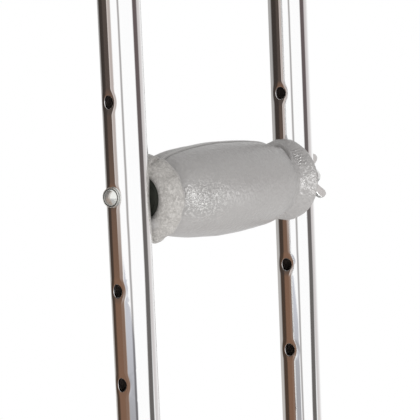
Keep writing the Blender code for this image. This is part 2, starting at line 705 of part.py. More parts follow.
def pivot_bolt():
    """A button head with a six-sided socket on the left, plain shank to beyond the nut."""
    seat = pivot_seat() + GAP
    end = seat + PIVOT_NUT_HEIGHT + PIVOT_NUT_COLLAR + PIVOT_END_BEYOND_NUT
    rim = 0.25 * PIVOT_HEAD_HEIGHT
    crown = dome(PIVOT_HEAD_RADIUS, PIVOT_HEAD_HEIGHT - rim, 4)
    profile = [(0.0, end), (0.8 * PIVOT_RADIUS, end), (PIVOT_RADIUS, end - 0.2 * PIVOT_RADIUS)]
    profile += [(PIVOT_RADIUS, -seat), (PIVOT_HEAD_RADIUS, -seat)]
    profile += [(radius, -seat - rim - rise) for radius, rise in crown[:-1]]
    profile.append((0.0, -seat - PIVOT_HEAD_HEIGHT))
    at = (0.0, 0.0, PIVOT_HEIGHT)
    made = piece("pivot_bolt", turned(profile, 24, closed=False), ZINC_STEEL, ALONG_X, at)
    top = -seat - PIVOT_HEAD_HEIGHT
    socket = rod(PIVOT_SOCKET_RADIUS, top - 0.01, top + PIVOT_SOCKET_DEPTH, 6)
    cut(made, mesh_object("pivot_socket", socket, ALONG_X, at))
    return made


def pivot_washer(side_name, side):
    low = CHEEK_OUTER + GAP
    made = tube(PIVOT_WASHER_RADIUS, PIVOT_RADIUS + GAP, low, low + PIVOT_WASHER_THICKNESS, 24)
    turn = Matrix.Rotation(side * math.radians(90), 4, "Y")
    return piece("pivot_washer_" + side_name, made, ZINC_STEEL, turn, (0.0, 0.0, PIVOT_HEIGHT))


def pivot_nut():
    """A six-sided lock nut with a round collar at its outer end."""
    low = pivot_seat() + GAP
    corner = PIVOT_NUT_FLATS / math.sqrt(3)
    at = (0.0, 0.0, PIVOT_HEIGHT)
    body = rod(corner, low, low + PIVOT_NUT_HEIGHT, 6)
    bmesh.ops.bevel(
        body,
        geom=list(body.edges),
        offset=0.0005,
        segments=1,
        profile=0.5,
        affect="EDGES",
        material=-1,
    )
    made = piece("pivot_nut", body, ZINC_STEEL, ALONG_X, at)
    collar_low = low + PIVOT_NUT_HEIGHT / 2
    collar = rod(0.88 * PIVOT_NUT_FLATS / 2, collar_low, low + PIVOT_NUT_HEIGHT + PIVOT_NUT_COLLAR, 24)
    fuse(made, mesh_object("pivot_nut_collar", collar, ALONG_X, at))
    bore = rod(PIVOT_RADIUS + GAP, 0.0, 2 * (low + PIVOT_NUT_HEIGHT), 24)
    cut(made, mesh_object("pivot_nut_bore", bore, ALONG_X, at))
    return made


def pivot_bush():
    end = CHEEK_INNER - GAP
    made = tube(BUSH_RADIUS, PIVOT_RADIUS + GAP, -end, end, 24)
    return piece("pivot_bush", made, NYLON, ALONG_X, (0.0, 0.0, PIVOT_HEIGHT))


def leg_tube():
    made = piece("leg_tube", tube(TUBE_RADIUS, TUBE_BORE, LEG_BOTTOM_HEIGHT, LEG_TOP_HEIGHT, TUBE_SIDES), ALUMINIUM)
    at = (0.0, 0.0, PIVOT_HEIGHT)
    cut(made, hole_bar("leg_pivot_hole", BUSH_RADIUS + GAP, 4 * TUBE_RADIUS, ALONG_X, at))
    at = (TUBE_RADIUS, 0.0, LOCK_HEIGHT)
    cut(made, hole_bar("leg_lock_hole", BUTTON_HOLE_RADIUS, TUBE_RADIUS, ALONG_X, at))
    for number in range(HEIGHT_HOLES):
        at = (0.0, TUBE_RADIUS, LOWEST_HEIGHT_HOLE + number * HEIGHT_HOLE_PITCH)
        cut(made, hole_bar(f"leg_height_hole_{number}", BUTTON_HOLE_RADIUS, TUBE_RADIUS, ALONG_Y, at))
    return made


def leg_cap():
    """A plastic plug whose rounded flange closes the leg's top end."""
    spigot = TUBE_BORE - GAP
    profile = [(0.0, CAP_HEIGHT)]
    profile += [(0.72 * TUBE_RADIUS, CAP_HEIGHT), (0.93 * TUBE_RADIUS, 0.7 * CAP_HEIGHT), (TUBE_RADIUS, GAP)]
    profile += [(spigot, GAP), (spigot, -CAP_SPIGOT), (0.0, -CAP_SPIGOT)]
    at = (0.0, 0.0, LEG_TOP_HEIGHT)
    return piece("leg_cap", turned(profile, TUBE_SIDES, closed=False), BLACK_PLASTIC, at=at)


def leg_collar():
    """A plastic collar: a sleeve round the leg's lower end and a lip that guides the inner tube."""
    outer = TUBE_RADIUS + GAP + COLLAR_WALL
    guide = INNER_RADIUS + GAP
    profile = [
        (guide, -COLLAR_LIP),
        (outer - 0.5 * COLLAR_WALL, -COLLAR_LIP),
        (outer, -0.6 * COLLAR_LIP),
        (outer, COLLAR_SLEEVE - 0.5 * COLLAR_WALL),
        (outer - 0.5 * COLLAR_WALL, COLLAR_SLEEVE),
        (TUBE_RADIUS + GAP, COLLAR_SLEEVE),
        (TUBE_RADIUS + GAP, -GAP),
        (guide, -GAP),
    ]
    at = (0.0, 0.0, LEG_BOTTOM_HEIGHT)
    return piece("leg_collar", turned(profile, TUBE_SIDES), BLACK_PLASTIC, at=at)


def spring_clip(name, room, proud_to, way, turn, at):
    """A bent strip whose two arms lie along the tube's wall, with a round button on one arm.

    The arms run along Z from the button towards the fold of the strip, up or down as way says.
    """
    half_width = CLIP_WIDTH / 2
    face = math.sqrt((room - GAP) ** 2 - half_width**2)
    middle = face - CLIP_SHEET / 2
    fold = CLIP_LENGTH - CLIP_TAIL
    corners = [
        (middle, -half_width, -way * CLIP_TAIL),
        (middle, -half_width, way * 0.25 * fold),
        (0.25 * middle, -half_width, way * fold),
        (-0.25 * middle, -half_width, way * fold),
        (-middle, -half_width, way * 0.25 * fold),
        (-middle, -half_width, -way * CLIP_TAIL),
    ]
    bm = bmesh.new()
    route = rounded_route(corners, 0.2 * middle, 2)
    chain = [bm.verts.new(point) for point in route]
    edges = [bm.edges.new(pair) for pair in zip(chain, chain[1:])]
    grown = bmesh.ops.extrude_edge_only(bm, edges=edges)
    moved = [item for item in grown["geom"] if isinstance(item, bmesh.types.BMVert)]
    bmesh.ops.translate(bm, verts=moved, vec=(0.0, CLIP_WIDTH, 0.0))
    bmesh.ops.recalc_face_normals(bm, faces=bm.faces)
    made = piece(name, bm, SPRING_STEEL, turn, at)
    sheet = made.modifiers.new("Sheet", "SOLIDIFY")
    sheet.thickness = CLIP_SHEET
    sheet.offset = 0.0
    sheet.use_even_offset = True
    crown = dome(BUTTON_RADIUS, 0.6 * BUTTON_RADIUS, 3)
    shoulder = proud_to - 0.6 * BUTTON_RADIUS
    profile = [(0.0, middle), (BUTTON_RADIUS, middle)]
    profile += [(radius, shoulder + rise) for radius, rise in crown[:-1]]
    profile.append((0.0, proud_to))
    button = turned(profile, 16, closed=False)
    bmesh.ops.transform(button, matrix=ALONG_X, verts=button.verts)
    fuse(made, mesh_object(name + "_button", button, turn, at))
    return made


def lock_clip():
    at = (0.0, 0.0, LOCK_HEIGHT)
    return spring_clip("lock_clip", TUBE_BORE, CHEEK_OUTER + BUTTON_PROUD, 1, UPRIGHT, at)


def height_clip():
    quarter = Matrix.Rotation(math.radians(90), 4, "Z")
    at = (0.0, 0.0, BUTTON_HEIGHT)
    return spring_clip("height_clip", INNER_BORE, TUBE_RADIUS + BUTTON_PROUD, -1, quarter, at)


def inner_leg_tube():
    bm = tube(INNER_RADIUS, INNER_BORE, INNER_LOW_HEIGHT, INNER_TOP_HEIGHT, TUBE_SIDES)
    made = piece("inner_leg_tube", bm, ALUMINIUM)
    at = (0.0, INNER_RADIUS, BUTTON_HEIGHT)
    cut(made, hole_bar("inner_leg_hole", BUTTON_HOLE_RADIUS, INNER_RADIUS, ALONG_Y, at))
    return made


def inner_leg_plug():
    """A nylon glide in the top of the inner tube."""
    spigot = INNER_BORE - GAP
    top = INNER_PLUG_HEIGHT + GAP
    profile = [(0.0, top), (0.9 * INNER_RADIUS, top), (INNER_RADIUS, top - 0.1 * INNER_RADIUS)]
    profile += [(INNER_RADIUS, GAP), (spigot, GAP), (spigot, -INNER_PLUG_SPIGOT), (0.0, -INNER_PLUG_SPIGOT)]
    at = (0.0, 0.0, INNER_TOP_HEIGHT)
    return piece("inner_leg_plug", turned(profile, TUBE_SIDES, closed=False), NYLON, at=at)


def rubber_tip():
    """A bell-shaped ferrule: ringed neck, curved flare, grooved sole and a blind bore for the inner tube."""
    bore = INNER_RADIUS + GAP
    flare = [
        (TIP_BASE_RADIUS, TIP_BASE_HEIGHT),
        (TIP_BASE_RADIUS - 0.45 * (TIP_BASE_RADIUS - TIP_NECK_RADIUS), TIP_BASE_HEIGHT + 0.003),
        (TIP_NECK_RADIUS + 0.2 * (TIP_BASE_RADIUS - TIP_NECK_RADIUS), 0.6 * (TIP_BASE_HEIGHT + TIP_FLARE_TOP)),
        (TIP_NECK_RADIUS, TIP_FLARE_TOP),
    ]
    profile = [(0.0, TIP_GROOVE_DEPTH)]
    inner_land = TIP_BASE_RADIUS - 3 * TIP_LAND
    outer_land = TIP_BASE_RADIUS - TIP_LAND
    profile += [(inner_land, TIP_GROOVE_DEPTH), (inner_land, 0.0)]
    profile += [(inner_land + TIP_LAND, 0.0), (inner_land + TIP_LAND, TIP_GROOVE_DEPTH)]
    profile += [(outer_land - 0.3 * TIP_LAND, TIP_GROOVE_DEPTH), (outer_land - 0.3 * TIP_LAND, 0.0)]
    profile += [(TIP_BASE_RADIUS - 0.001, 0.0), (TIP_BASE_RADIUS, 0.001)]
    profile += smooth_curve(flare, 3)
    ring_room = (TIP_HEIGHT - TIP_FLARE_TOP) / (TIP_RIBS + 1)
    for number in range(TIP_RIBS):
        middle = TIP_FLARE_TOP + (number + 0.75) * ring_room
        profile.append((TIP_NECK_RADIUS, middle - 0.25 * ring_room))
        profile.append((TIP_NECK_RADIUS + TIP_RIB_DEPTH, middle - 0.10 * ring_room))
        profile.append((TIP_NECK_RADIUS + TIP_RIB_DEPTH, middle + 0.10 * ring_room))
        profile.append((TIP_NECK_RADIUS, middle + 0.25 * ring_room))
    profile += [(TIP_NECK_RADIUS, TIP_HEIGHT - 0.001), (TIP_NECK_RADIUS - 0.001, TIP_HEIGHT)]
    profile += [(bore, TIP_HEIGHT), (bore, TIP_FLOOR), (0.0, TIP_FLOOR)]
    return piece("rubber_tip", turned(profile, 28, closed=False), GREY_RUBBER)


def tip_washer():
    low = TIP_FLOOR + GAP
    made = rod(INNER_RADIUS - GAP, low, low + TIP_WASHER_THICKNESS, 24)
    return piece("tip_washer", made, ZINC_STEEL)


def build():
    clear_scene()
    for side_name, side in SIDES.items():
        upright(side_name, side)
        upright_plug(side_name, side)
        grip_plug(side_name, side)
        top_rivet(side_name, side)
        pivot_washer(side_name, side)
        for level, height in RIVET_HEIGHTS.items():
            bracket_rivet(side_name, side, level, height)
    underarm_bar()
    underarm_pad()
    hand_grip()
    grip_core()
    grip_bolt()
    wing_washer()
    hinge_bracket()
    pivot_bolt()
    pivot_nut()

    fold = joint_empty("fold_axis", (0.0, 0.0, PIVOT_HEIGHT))
    carry(fold, leg_tube(), leg_cap(), leg_collar(), pivot_bush())
    slide = joint_empty("leg_slide_axis", (0.0, 0.0, LEG_BOTTOM_HEIGHT))
    carry(slide, inner_leg_tube(), inner_leg_plug(), rubber_tip(), tip_washer())
    carry(joint_empty("lock_button_axis", (0.0, 0.0, LOCK_HEIGHT)), lock_clip())
    carry(joint_empty("height_button_axis", (0.0, 0.0, BUTTON_HEIGHT)), height_clip())
    carry(joint_empty("wing_nut_axis", (0.0, 0.0, GRIP_HEIGHT)), wing_nut())


build()
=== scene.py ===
import json
import math

import bmesh
import bpy
from mathutils import Matrix, Vector, noise

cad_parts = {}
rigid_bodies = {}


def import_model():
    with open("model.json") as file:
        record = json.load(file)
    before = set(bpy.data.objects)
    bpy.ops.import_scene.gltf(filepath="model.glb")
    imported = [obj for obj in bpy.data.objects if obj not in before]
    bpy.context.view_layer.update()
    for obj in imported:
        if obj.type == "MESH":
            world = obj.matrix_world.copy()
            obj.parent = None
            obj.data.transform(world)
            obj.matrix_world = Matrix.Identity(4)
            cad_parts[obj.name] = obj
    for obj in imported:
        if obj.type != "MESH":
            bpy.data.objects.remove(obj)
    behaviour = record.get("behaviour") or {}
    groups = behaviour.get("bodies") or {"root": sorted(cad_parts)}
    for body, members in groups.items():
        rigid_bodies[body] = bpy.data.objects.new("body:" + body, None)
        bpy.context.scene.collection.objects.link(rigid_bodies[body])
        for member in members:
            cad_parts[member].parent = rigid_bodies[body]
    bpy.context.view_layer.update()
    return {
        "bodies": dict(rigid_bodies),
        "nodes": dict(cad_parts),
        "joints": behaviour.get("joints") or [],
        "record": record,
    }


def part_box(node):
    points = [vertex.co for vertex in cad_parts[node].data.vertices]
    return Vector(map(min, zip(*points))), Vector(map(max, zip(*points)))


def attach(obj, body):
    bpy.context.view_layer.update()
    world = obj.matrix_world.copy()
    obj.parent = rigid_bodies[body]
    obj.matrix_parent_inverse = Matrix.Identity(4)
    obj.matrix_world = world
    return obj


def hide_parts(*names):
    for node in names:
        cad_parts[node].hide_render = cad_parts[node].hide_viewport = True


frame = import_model()
nodes = frame["nodes"]

# Sizes of the real crutch, in metres
TUBE_RADIUS = 0.0111
TUBE_WALL = 0.0013
GRIP_HEIGHT = 0.860
HOLE_PITCH = 0.0476
HALF_WIDTH = 0.075
LEAN = 0.0065
BEND_TOP = 0.665
BEND_LOW = 0.505
BEND_RADIUS = 0.160
LOWER_HALF_WIDTH = 0.0254
RIVET_HEIGHTS = (0.440, 0.470)
PIVOT_HEIGHT = 0.365
LOCK_HEIGHT = 0.325
LOWEST_STEP_HEIGHT = 0.178
HEIGHT_STEP = 0.0254
HEIGHT_BUTTON_HEIGHT = 0.2542

# Hole radii, and a dimple's depth and reach
BOLT_HOLE = 0.0034
PIVOT_HOLE = 0.0065
BUTTON_HOLE = 0.0035
DIMPLE = (0.00075, 0.0068)
NO_DIMPLE = (0.0, 1.0)

# The bolt lies a little off the left tube's middle, and the loose foam sleeve sags and slews on it
BOLT_DRIFT = 0.0019
SLEEVE_DROP = 0.0012
SLEEVE_TILT = 0.015
SLEEVE_SLEW = -0.034

# Turned pieces are made round Z and then laid along X, at the grip
ALONG_X = Matrix.Rotation(math.radians(90), 4, "Y")
AT_GRIP = Matrix.Translation((0.0, 0.0, GRIP_HEIGHT))
SLEEVE_PLACE = (
    Matrix.Translation((0.0, 0.0, GRIP_HEIGHT - SLEEVE_DROP))
    @ Matrix.Rotation(SLEEVE_SLEW, 4, "Z")
    @ Matrix.Rotation(-SLEEVE_TILT, 4, "Y")
    @ ALONG_X
)

# The camera looks along VIEW, and SIDE points to its right
AZIMUTH = math.radians(53.83)
PITCH = math.radians(3.27)
ROLL = math.radians(-2.39)
VIEW = Vector((math.sin(AZIMUTH) * math.cos(PITCH), math.cos(AZIMUTH) * math.cos(PITCH), -math.sin(PITCH)))
SIDE = Vector((math.cos(AZIMUTH), -math.sin(AZIMUTH), 0.0))
TOWARDS = Vector((-math.sin(AZIMUTH), -math.cos(AZIMUTH), 0.0))


# Shared ways to make a mesh


def smooth_step(low, high, value):
    share = min(1.0, max(0.0, (value - low) / (high - low)))
    return share * share * (3 - 2 * share)


def curve_value(before, start, end, after, share):
    """A Catmull-Rom value at a share of the way from start to end."""
    line = 2 * start + (end - before) * share
    square = (2 * before - 5 * start + 4 * end - after) * share**2
    cube = (3 * start - before - 3 * end + after) * share**3
    return 0.5 * (line + square + cube)


def smooth_curve(knots, steps):
    """Catmull-Rom points through the knots."""
    ends = [knots[0]] + list(knots) + [knots[-1]]
    curve = []
    for four in zip(ends, ends[1:], ends[2:], ends[3:]):
        for step in range(steps):
            curve.append(tuple(curve_value(*values, step / steps) for values in zip(*four)))
    curve.append(tuple(knots[-1]))
    return curve


def turned(profile, segments, closed=False):
    """Spins (radius, height) points about Z."""
    bm = bmesh.new()
    points = [bm.verts.new((radius, 0.0, height)) for radius, height in profile]
    follow = points[1:] + points[:1] if closed else points[1:]
    edges = [bm.edges.new(pair) for pair in zip(points, follow)]
    bmesh.ops.spin(
        bm,
        geom=points + edges,
        cent=(0.0, 0.0, 0.0),
        axis=(0.0, 0.0, 1.0),
        angle=math.tau,
        steps=segments,
        use_merge=True,
    )
    bmesh.ops.remove_doubles(bm, verts=bm.verts, dist=1e-7)
    bmesh.ops.recalc_face_normals(bm, faces=bm.faces)
    return bm


def made_piece(name, bm, place=None, sharp=35):
    if place is not None:
        bmesh.ops.transform(bm, matrix=place, verts=bm.verts)
    mesh = bpy.data.meshes.new(name)
    bm.to_mesh(mesh)
    bm.free()
    mesh.shade_smooth()
    mesh.set_sharp_from_angle(angle=math.radians(sharp))
    made = bpy.data.objects.new(name, mesh)
    bpy.context.scene.collection.objects.link(made)
    return made


def fit(made, finishes, body, *stands_for, slot=None):
    for finish in finishes if isinstance(finishes, tuple) else (finishes,):
        made.data.materials.append(finish)
    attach(made, body)
    if stands_for:
        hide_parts(*stands_for)
    return made


def upright_x(height):
    return HALF_WIDTH + LEAN * (height - GRIP_HEIGHT)


def rounded_route(corners, radius, steps):
    """A route through the corners with each inner corner replaced by an arc."""
    route = [Vector(corners[0])]
    for before, corner, after in zip(corners, corners[1:], corners[2:]):
        corner = Vector(corner)
        to_before = (Vector(before) - corner).normalized()
        to_after = (Vector(after) - corner).normalized()
        half_angle = to_before.angle(to_after) / 2
        centre = corner + (to_before + to_after).normalized() * radius / math.sin(half_angle)
        start = corner + to_before * radius / math.tan(half_angle) - centre
        end = corner + to_after * radius / math.tan(half_angle) - centre
        for step in range(steps + 1):
            route.append(centre + radius * start.slerp(end, step / steps))
    route.append(Vector(corners[-1]))
    return route


# A drilled tube's sheet: cells round the tube, each hole's patch and rim in cells, and its column
COLUMNS = 96
PATCH = 12
RIM = 4
QUARTERS = {0: 12, 90: 36, 180: 60, 270: 84}
BEND_ROW = 0.004
LONG_ROW = 0.012


def sheet_rows(route, cell, hole_heights, bends):
    """The heights of a sheet's rows: square cells round each hole, close rows in a bend, long ones else."""
    low = route[0].z
    high = route[-1].z
    rows = {low, high}
    for height in hole_heights:
        rows.update(height + step * cell for step in range(-PATCH, PATCH + 1))
    for bend_low, bend_high in bends:
        steps = int((bend_high - bend_low) / BEND_ROW)
        rows.update(bend_low + (bend_high - bend_low) * step / steps for step in range(steps + 1))

    def fits(row):
        away = [(row - height) / cell for height in hole_heights]
        near = [cells_off for cells_off in away if abs(cells_off) < PATCH + 0.5]
        if any(abs(cells_off - round(cells_off)) < 1e-6 for cells_off in near):
            return True
        return all(abs(cells_off) > PATCH + 0.8 for cells_off in away)

    rows = sorted(row for row in rows if low <= row <= high and fits(row))
    filled = [rows[0]]
    for row in rows[1:]:
        start = filled[-1]
        gap = row - start
        if gap < 1e-5:
            continue
        parts = max(1, math.ceil(gap / LONG_ROW))
        filled.extend(start + gap * part / parts for part in range(1, parts + 1))
    return filled


def drilled_tube(name, route, radius, wall, holes, bends=()):
    """A flat sheet, drilled and dimpled, wrapped round the route and given its wall.

    holes: (height, quarter turn, radius, dimple depth, dimple reach, step aside). The route rises in Z.
    The first material is the outside's, the second the bore's.
    """
    cell = math.tau * radius / COLUMNS
    rows = sheet_rows(route, cell, sorted({hole[0] for hole in holes}), bends)
    bm = bmesh.new()
    bmesh.ops.create_grid(bm, x_segments=COLUMNS, y_segments=len(rows) - 1, size=0.5)
    wrap = bm.loops.layers.uv.new("wrap")
    flat = {}
    inside = set()
    for vert in bm.verts:
        column = round((vert.co.x + 0.5) * COLUMNS)
        row = rows[round((vert.co.y + 0.5) * (len(rows) - 1))]
        across = column * cell
        up = row
        sink = 0.0
        for height, quarter, hole, depth, reach, aside in holes:
            i = column - QUARTERS[quarter]
            j = round((row - height) / cell)
            ring = max(abs(i), abs(j))
            if ring > PATCH or abs(row - height - j * cell) > 1e-5:
                continue
            if ring < RIM:
                inside.add(vert)
                continue
            share = (ring - RIM) / (PATCH - RIM)
            if abs(i) >= abs(j):
                turn = math.radians(45) * j / ring
                away = Vector((math.copysign(math.cos(turn), i), math.sin(turn)))
            else:
                turn = math.radians(45) * i / ring
                away = Vector((math.sin(turn), math.copysign(math.cos(turn), j)))
            circle = away * (hole + share * (PATCH * cell - hole))
            middle = Vector((aside, 0.0))
            spot = (circle + middle).lerp(Vector((i * cell, j * cell)), share**1.5)
            across = QUARTERS[quarter] * cell + spot.x
            up = height + spot.y
            if depth:
                fall = min(1.0, (spot - middle).length / reach)
                sink = depth * (1 - fall * fall) ** 2
        flat[vert] = (across, up, sink)
    for face in bm.faces:
        for loop in face.loops:
            across, up, _ = flat[loop.vert]
            loop[wrap].uv = (across / (COLUMNS * cell), up)
    lengths = list(zip(route, route[1:]))
    for vert, (across, up, sink) in flat.items():
        turn = across / radius - math.radians(45)
        start, end = next((pair for pair in lengths if up <= pair[1].z + 1e-9), lengths[-1])
        share = (up - start.z) / (end.z - start.z)
        centre = start.lerp(end, share)
        along = tangent_at(route, centre)
        out = Vector((along.z, 0.0, -along.x))
        away = out * math.cos(turn) + Vector((0.0, 1.0, 0.0)) * math.sin(turn)
        vert.co = centre + away * (radius - sink)
    bmesh.ops.delete(bm, geom=list(inside), context="VERTS")
    bmesh.ops.remove_doubles(bm, verts=bm.verts, dist=1e-6)
    bmesh.ops.recalc_face_normals(bm, faces=bm.faces)
    bmesh.ops.solidify(bm, geom=list(bm.faces), thickness=wall)
    bmesh.ops.recalc_face_normals(bm, faces=bm.faces)
    sharp = math.radians(55)
    rims = [edge for edge in bm.edges if len(edge.link_faces) == 2 and edge.calc_face_angle() > sharp]
    bmesh.ops.bevel(bm, geom=rims, offset=0.00022, segments=2, profile=0.5, affect="EDGES", material=-1)
    for face in bm.faces:
        middle = face.calc_center_median()
        away = middle - point_at(route, middle.z)
        face.material_index = 1 if away.normalized().dot(face.normal) < -0.5 else 0
    return made_piece(name, bm, sharp=50)


def tangent_at(route, point):
    """The route's direction at a point on it, smoothed across its bends."""
    ahead = point_at(route, point.z + 0.003)
    behind = point_at(route, point.z - 0.003)
    return (ahead - behind).normalized()


def point_at(route, height):
    """The point of a rising route at a height."""
    for start, end in zip(route, route[1:]):
        if height <= end.z or end is route[-1]:
            return start.lerp(end, (height - start.z) / (end.z - start.z))


# Shared ways to make a finish


def finish(name):
    material = bpy.data.materials.new(name)
    material.use_nodes = True
    return material, material.node_tree, material.node_tree.nodes["Principled BSDF"]


def add(tree, kind, inputs=None, **settings):
    made = tree.nodes.new(kind)
    for key, value in settings.items():
        setattr(made, key, value)
    for key, value in (inputs or {}).items():
        if isinstance(value, bpy.types.NodeSocket):
            tree.links.new(value, made.inputs[key])
        else:
            made.inputs[key].default_value = value
    return made


def math_node(tree, operation, *values, clamp=False):
    inputs = {number: value for number, value in enumerate(values)}
    return add(tree, "ShaderNodeMath", inputs, operation=operation, use_clamp=clamp).outputs[0]


def times(tree, first, second):
    return math_node(tree, "MULTIPLY", first, second)


def along_way(tree, place, way):
    """How far a place lies along a direction."""
    made = add(tree, "ShaderNodeVectorMath", {0: place, 1: tuple(way)}, operation="DOT_PRODUCT")
    return made.outputs["Value"]


def spread(tree, value, low, high, to_low=0.0, to_high=1.0, smooth=True):
    kind = "SMOOTHSTEP" if smooth else "LINEAR"
    inputs = {"Value": value, "From Min": low, "From Max": high, "To Min": to_low, "To Max": to_high}
    return add(tree, "ShaderNodeMapRange", inputs, interpolation_type=kind).outputs["Result"]


def blended(tree, share, first, second, way="MIX"):
    made = add(tree, "ShaderNodeMix", data_type="RGBA", blend_type=way)
    sockets = [s for s in made.inputs if s.type == "RGBA"]
    factor = made.inputs[0]
    for socket, value in ((factor, share), (sockets[0], first), (sockets[1], second)):
        if isinstance(value, bpy.types.NodeSocket):
            tree.links.new(value, socket)
        elif socket.type == "RGBA":
            socket.default_value = (*value, 1.0) if len(value) == 3 else value
        else:
            socket.default_value = value
    return next(s for s in made.outputs if s.type == "RGBA")


def object_place(tree):
    return add(tree, "ShaderNodeTexCoord").outputs["Object"]


def stretched(tree, vector, scale):
    return add(tree, "ShaderNodeMapping", {"Vector": vector, "Scale": scale}).outputs["Vector"]


def grain(tree, vector, scale, detail=4.0, roughness=0.55):
    inputs = {"Vector": vector, "Scale": scale, "Detail": detail, "Roughness": roughness}
    return add(tree, "ShaderNodeTexNoise", inputs).outputs["Fac"]


def cells(tree, vector, scale, feature="F1", output="Distance", randomness=1.0):
    inputs = {"Vector": vector, "Scale": scale, "Randomness": randomness}
    return add(tree, "ShaderNodeTexVoronoi", inputs, feature=feature).outputs[output]


def raised(tree, height, distance, strength=1.0, under=None):
    inputs = {"Height": height, "Distance": distance, "Strength": strength}
    if under is not None:
        inputs["Normal"] = under
    return add(tree, "ShaderNodeBump", inputs).outputs["Normal"]


def polished_tube(name, painted_reflection_line_at=None):
    """Drawn and polished aluminium: lengthwise streaks, faint marks and, if given, one dark line painted
    lengthwise at that place round the tube as a reflection.
    """
    material, tree, shader = finish(name)
    wrap = add(tree, "ShaderNodeUVMap", uv_map="wrap").outputs["UV"]
    streaks = grain(tree, stretched(tree, wrap, (260.0, 5.0, 1.0)), 1.0, 3.0, 0.6)
    broad = grain(tree, stretched(tree, wrap, (18.0, 9.0, 1.0)), 1.0, 2.0, 0.5)
    specks = grain(tree, object_place(tree), 1500.0, 2.0, 0.7)
    marks = spread(tree, specks, 0.70, 0.80)
    tone = blended(tree, streaks, (0.955, 0.955, 0.96), (0.995, 0.995, 0.995))
    tone = blended(tree, times(tree, marks, 0.30), tone, (0.55, 0.52, 0.50))
    # A thin dark line along the tube, painted into the base colour: a painted reflection.
    if painted_reflection_line_at is not None:
        parts = add(tree, "ShaderNodeSeparateXYZ", {0: wrap})
        drift = grain(tree, stretched(tree, parts.outputs["Y"], (22.0, 22.0, 22.0)), 1.0, 2.0, 0.5)
        middle = math_node(tree, "MULTIPLY_ADD", drift, 0.007, painted_reflection_line_at - 0.0035)
        off = math_node(tree, "SUBTRACT", parts.outputs["X"], middle)
        width = math_node(tree, "MULTIPLY_ADD", broad, 0.005, 0.0055)
        near = math_node(tree, "DIVIDE", math_node(tree, "ABSOLUTE", off), width)
        line = spread(tree, near, 1.5, 0.3)
        tone = blended(tree, times(tree, line, 0.95), tone, (0.37, 0.355, 0.35))
    tree.links.new(tone, shader.inputs["Base Color"])
    rough = math_node(tree, "MULTIPLY_ADD", broad, 0.05, 0.03)
    rough = math_node(tree, "MULTIPLY_ADD", marks, 0.2, rough)
    tree.links.new(rough, shader.inputs["Roughness"])
    shader.inputs["Metallic"].default_value = 1.0
    waves = raised(tree, broad, 0.00002, 0.5)
    tree.links.new(raised(tree, streaks, 0.000004, 0.6, waves), shader.inputs["Normal"])
    return material


def bore_painted_dark(name):
    """The inside of a tube with drawn streaks, painted dark brown for the shade and brown reflection seen
    inside its holes.
    """
    material, tree, shader = finish(name)
    wrap = add(tree, "ShaderNodeUVMap", uv_map="wrap").outputs["UV"]
    streaks = grain(tree, stretched(tree, wrap, (300.0, 8.0, 1.0)), 1.0, 3.0, 0.6)
    cloud = grain(tree, object_place(tree), 300.0, 3.0, 0.6)
    # The dark brown tone is painted shade and painted reflection.
    tone = blended(tree, streaks, (0.15, 0.12, 0.10), (0.30, 0.26, 0.23))
    tree.links.new(tone, shader.inputs["Base Color"])
    tree.links.new(math_node(tree, "MULTIPLY_ADD", cloud, 0.2, 0.5), shader.inputs["Roughness"])
    shader.inputs["Metallic"].default_value = 0.6
    tree.links.new(raised(tree, streaks, 0.00002, 0.6), shader.inputs["Normal"])
    return material


def plated_steel(name, colour=(0.56, 0.56, 0.56), dark=(0.40, 0.40, 0.39), rough=0.30, metal=1.0):
    """Bright zinc over pressed or turned steel: cloudy plating, fine rolling grain, a few dull spots."""
    material, tree, shader = finish(name)
    place = object_place(tree)
    cloud = grain(tree, place, 160.0, 3.0, 0.6)
    fine = grain(tree, stretched(tree, place, (900.0, 900.0, 160.0)), 1.0, 3.0, 0.6)
    spots = spread(tree, grain(tree, place, 420.0, 2.0, 0.6), 0.62, 0.74)
    tone = blended(tree, cloud, dark, colour)
    tone = blended(tree, times(tree, spots, 0.5), tone, (0.42, 0.42, 0.40))
    tree.links.new(tone, shader.inputs["Base Color"])
    tree.links.new(math_node(tree, "MULTIPLY_ADD", cloud, 0.22, rough - 0.06), shader.inputs["Roughness"])
    shader.inputs["Metallic"].default_value = metal
    tree.links.new(raised(tree, fine, 0.00002, 0.5), shader.inputs["Normal"])
    return material


def blued_spring(name):
    material, tree, shader = finish(name)
    place = object_place(tree)
    cloud = grain(tree, place, 220.0, 3.0, 0.6)
    lines = grain(tree, stretched(tree, place, (1800.0, 1800.0, 90.0)), 1.0, 3.0, 0.6)
    tone = blended(tree, cloud, (0.26, 0.27, 0.30), (0.45, 0.45, 0.47))
    tree.links.new(tone, shader.inputs["Base Color"])
    tree.links.new(math_node(tree, "MULTIPLY_ADD", lines, 0.2, 0.2), shader.inputs["Roughness"])
    shader.inputs["Metallic"].default_value = 1.0
    tree.links.new(raised(tree, lines, 0.00002, 0.5), shader.inputs["Normal"])
    return material


def moulded(name, colour, wear_and_highlight, rough=0.45, grain_scale=1800.0):
    """Moulded plastic with a fine spark-eroded skin, rubbed paler in scattered scuffs."""
    material, tree, shader = finish(name)
    place = object_place(tree)
    skin = grain(tree, place, grain_scale, 2.0, 0.5)
    cloud = grain(tree, place, 90.0, 3.0, 0.55)
    scuffs = grain(tree, stretched(tree, place, (700.0, 120.0, 240.0)), 1.0, 4.0, 0.6)
    scuffs = spread(tree, scuffs, 0.60, 0.72)
    share = math_node(tree, "MULTIPLY_ADD", scuffs, 0.5, times(tree, cloud, 0.25))
    tree.links.new(blended(tree, share, colour, wear_and_highlight), shader.inputs["Base Color"])
    tree.links.new(math_node(tree, "MULTIPLY_ADD", cloud, 0.2, rough - 0.1), shader.inputs["Roughness"])
    tree.links.new(raised(tree, skin, 0.00005, 0.4), shader.inputs["Normal"])
    return material


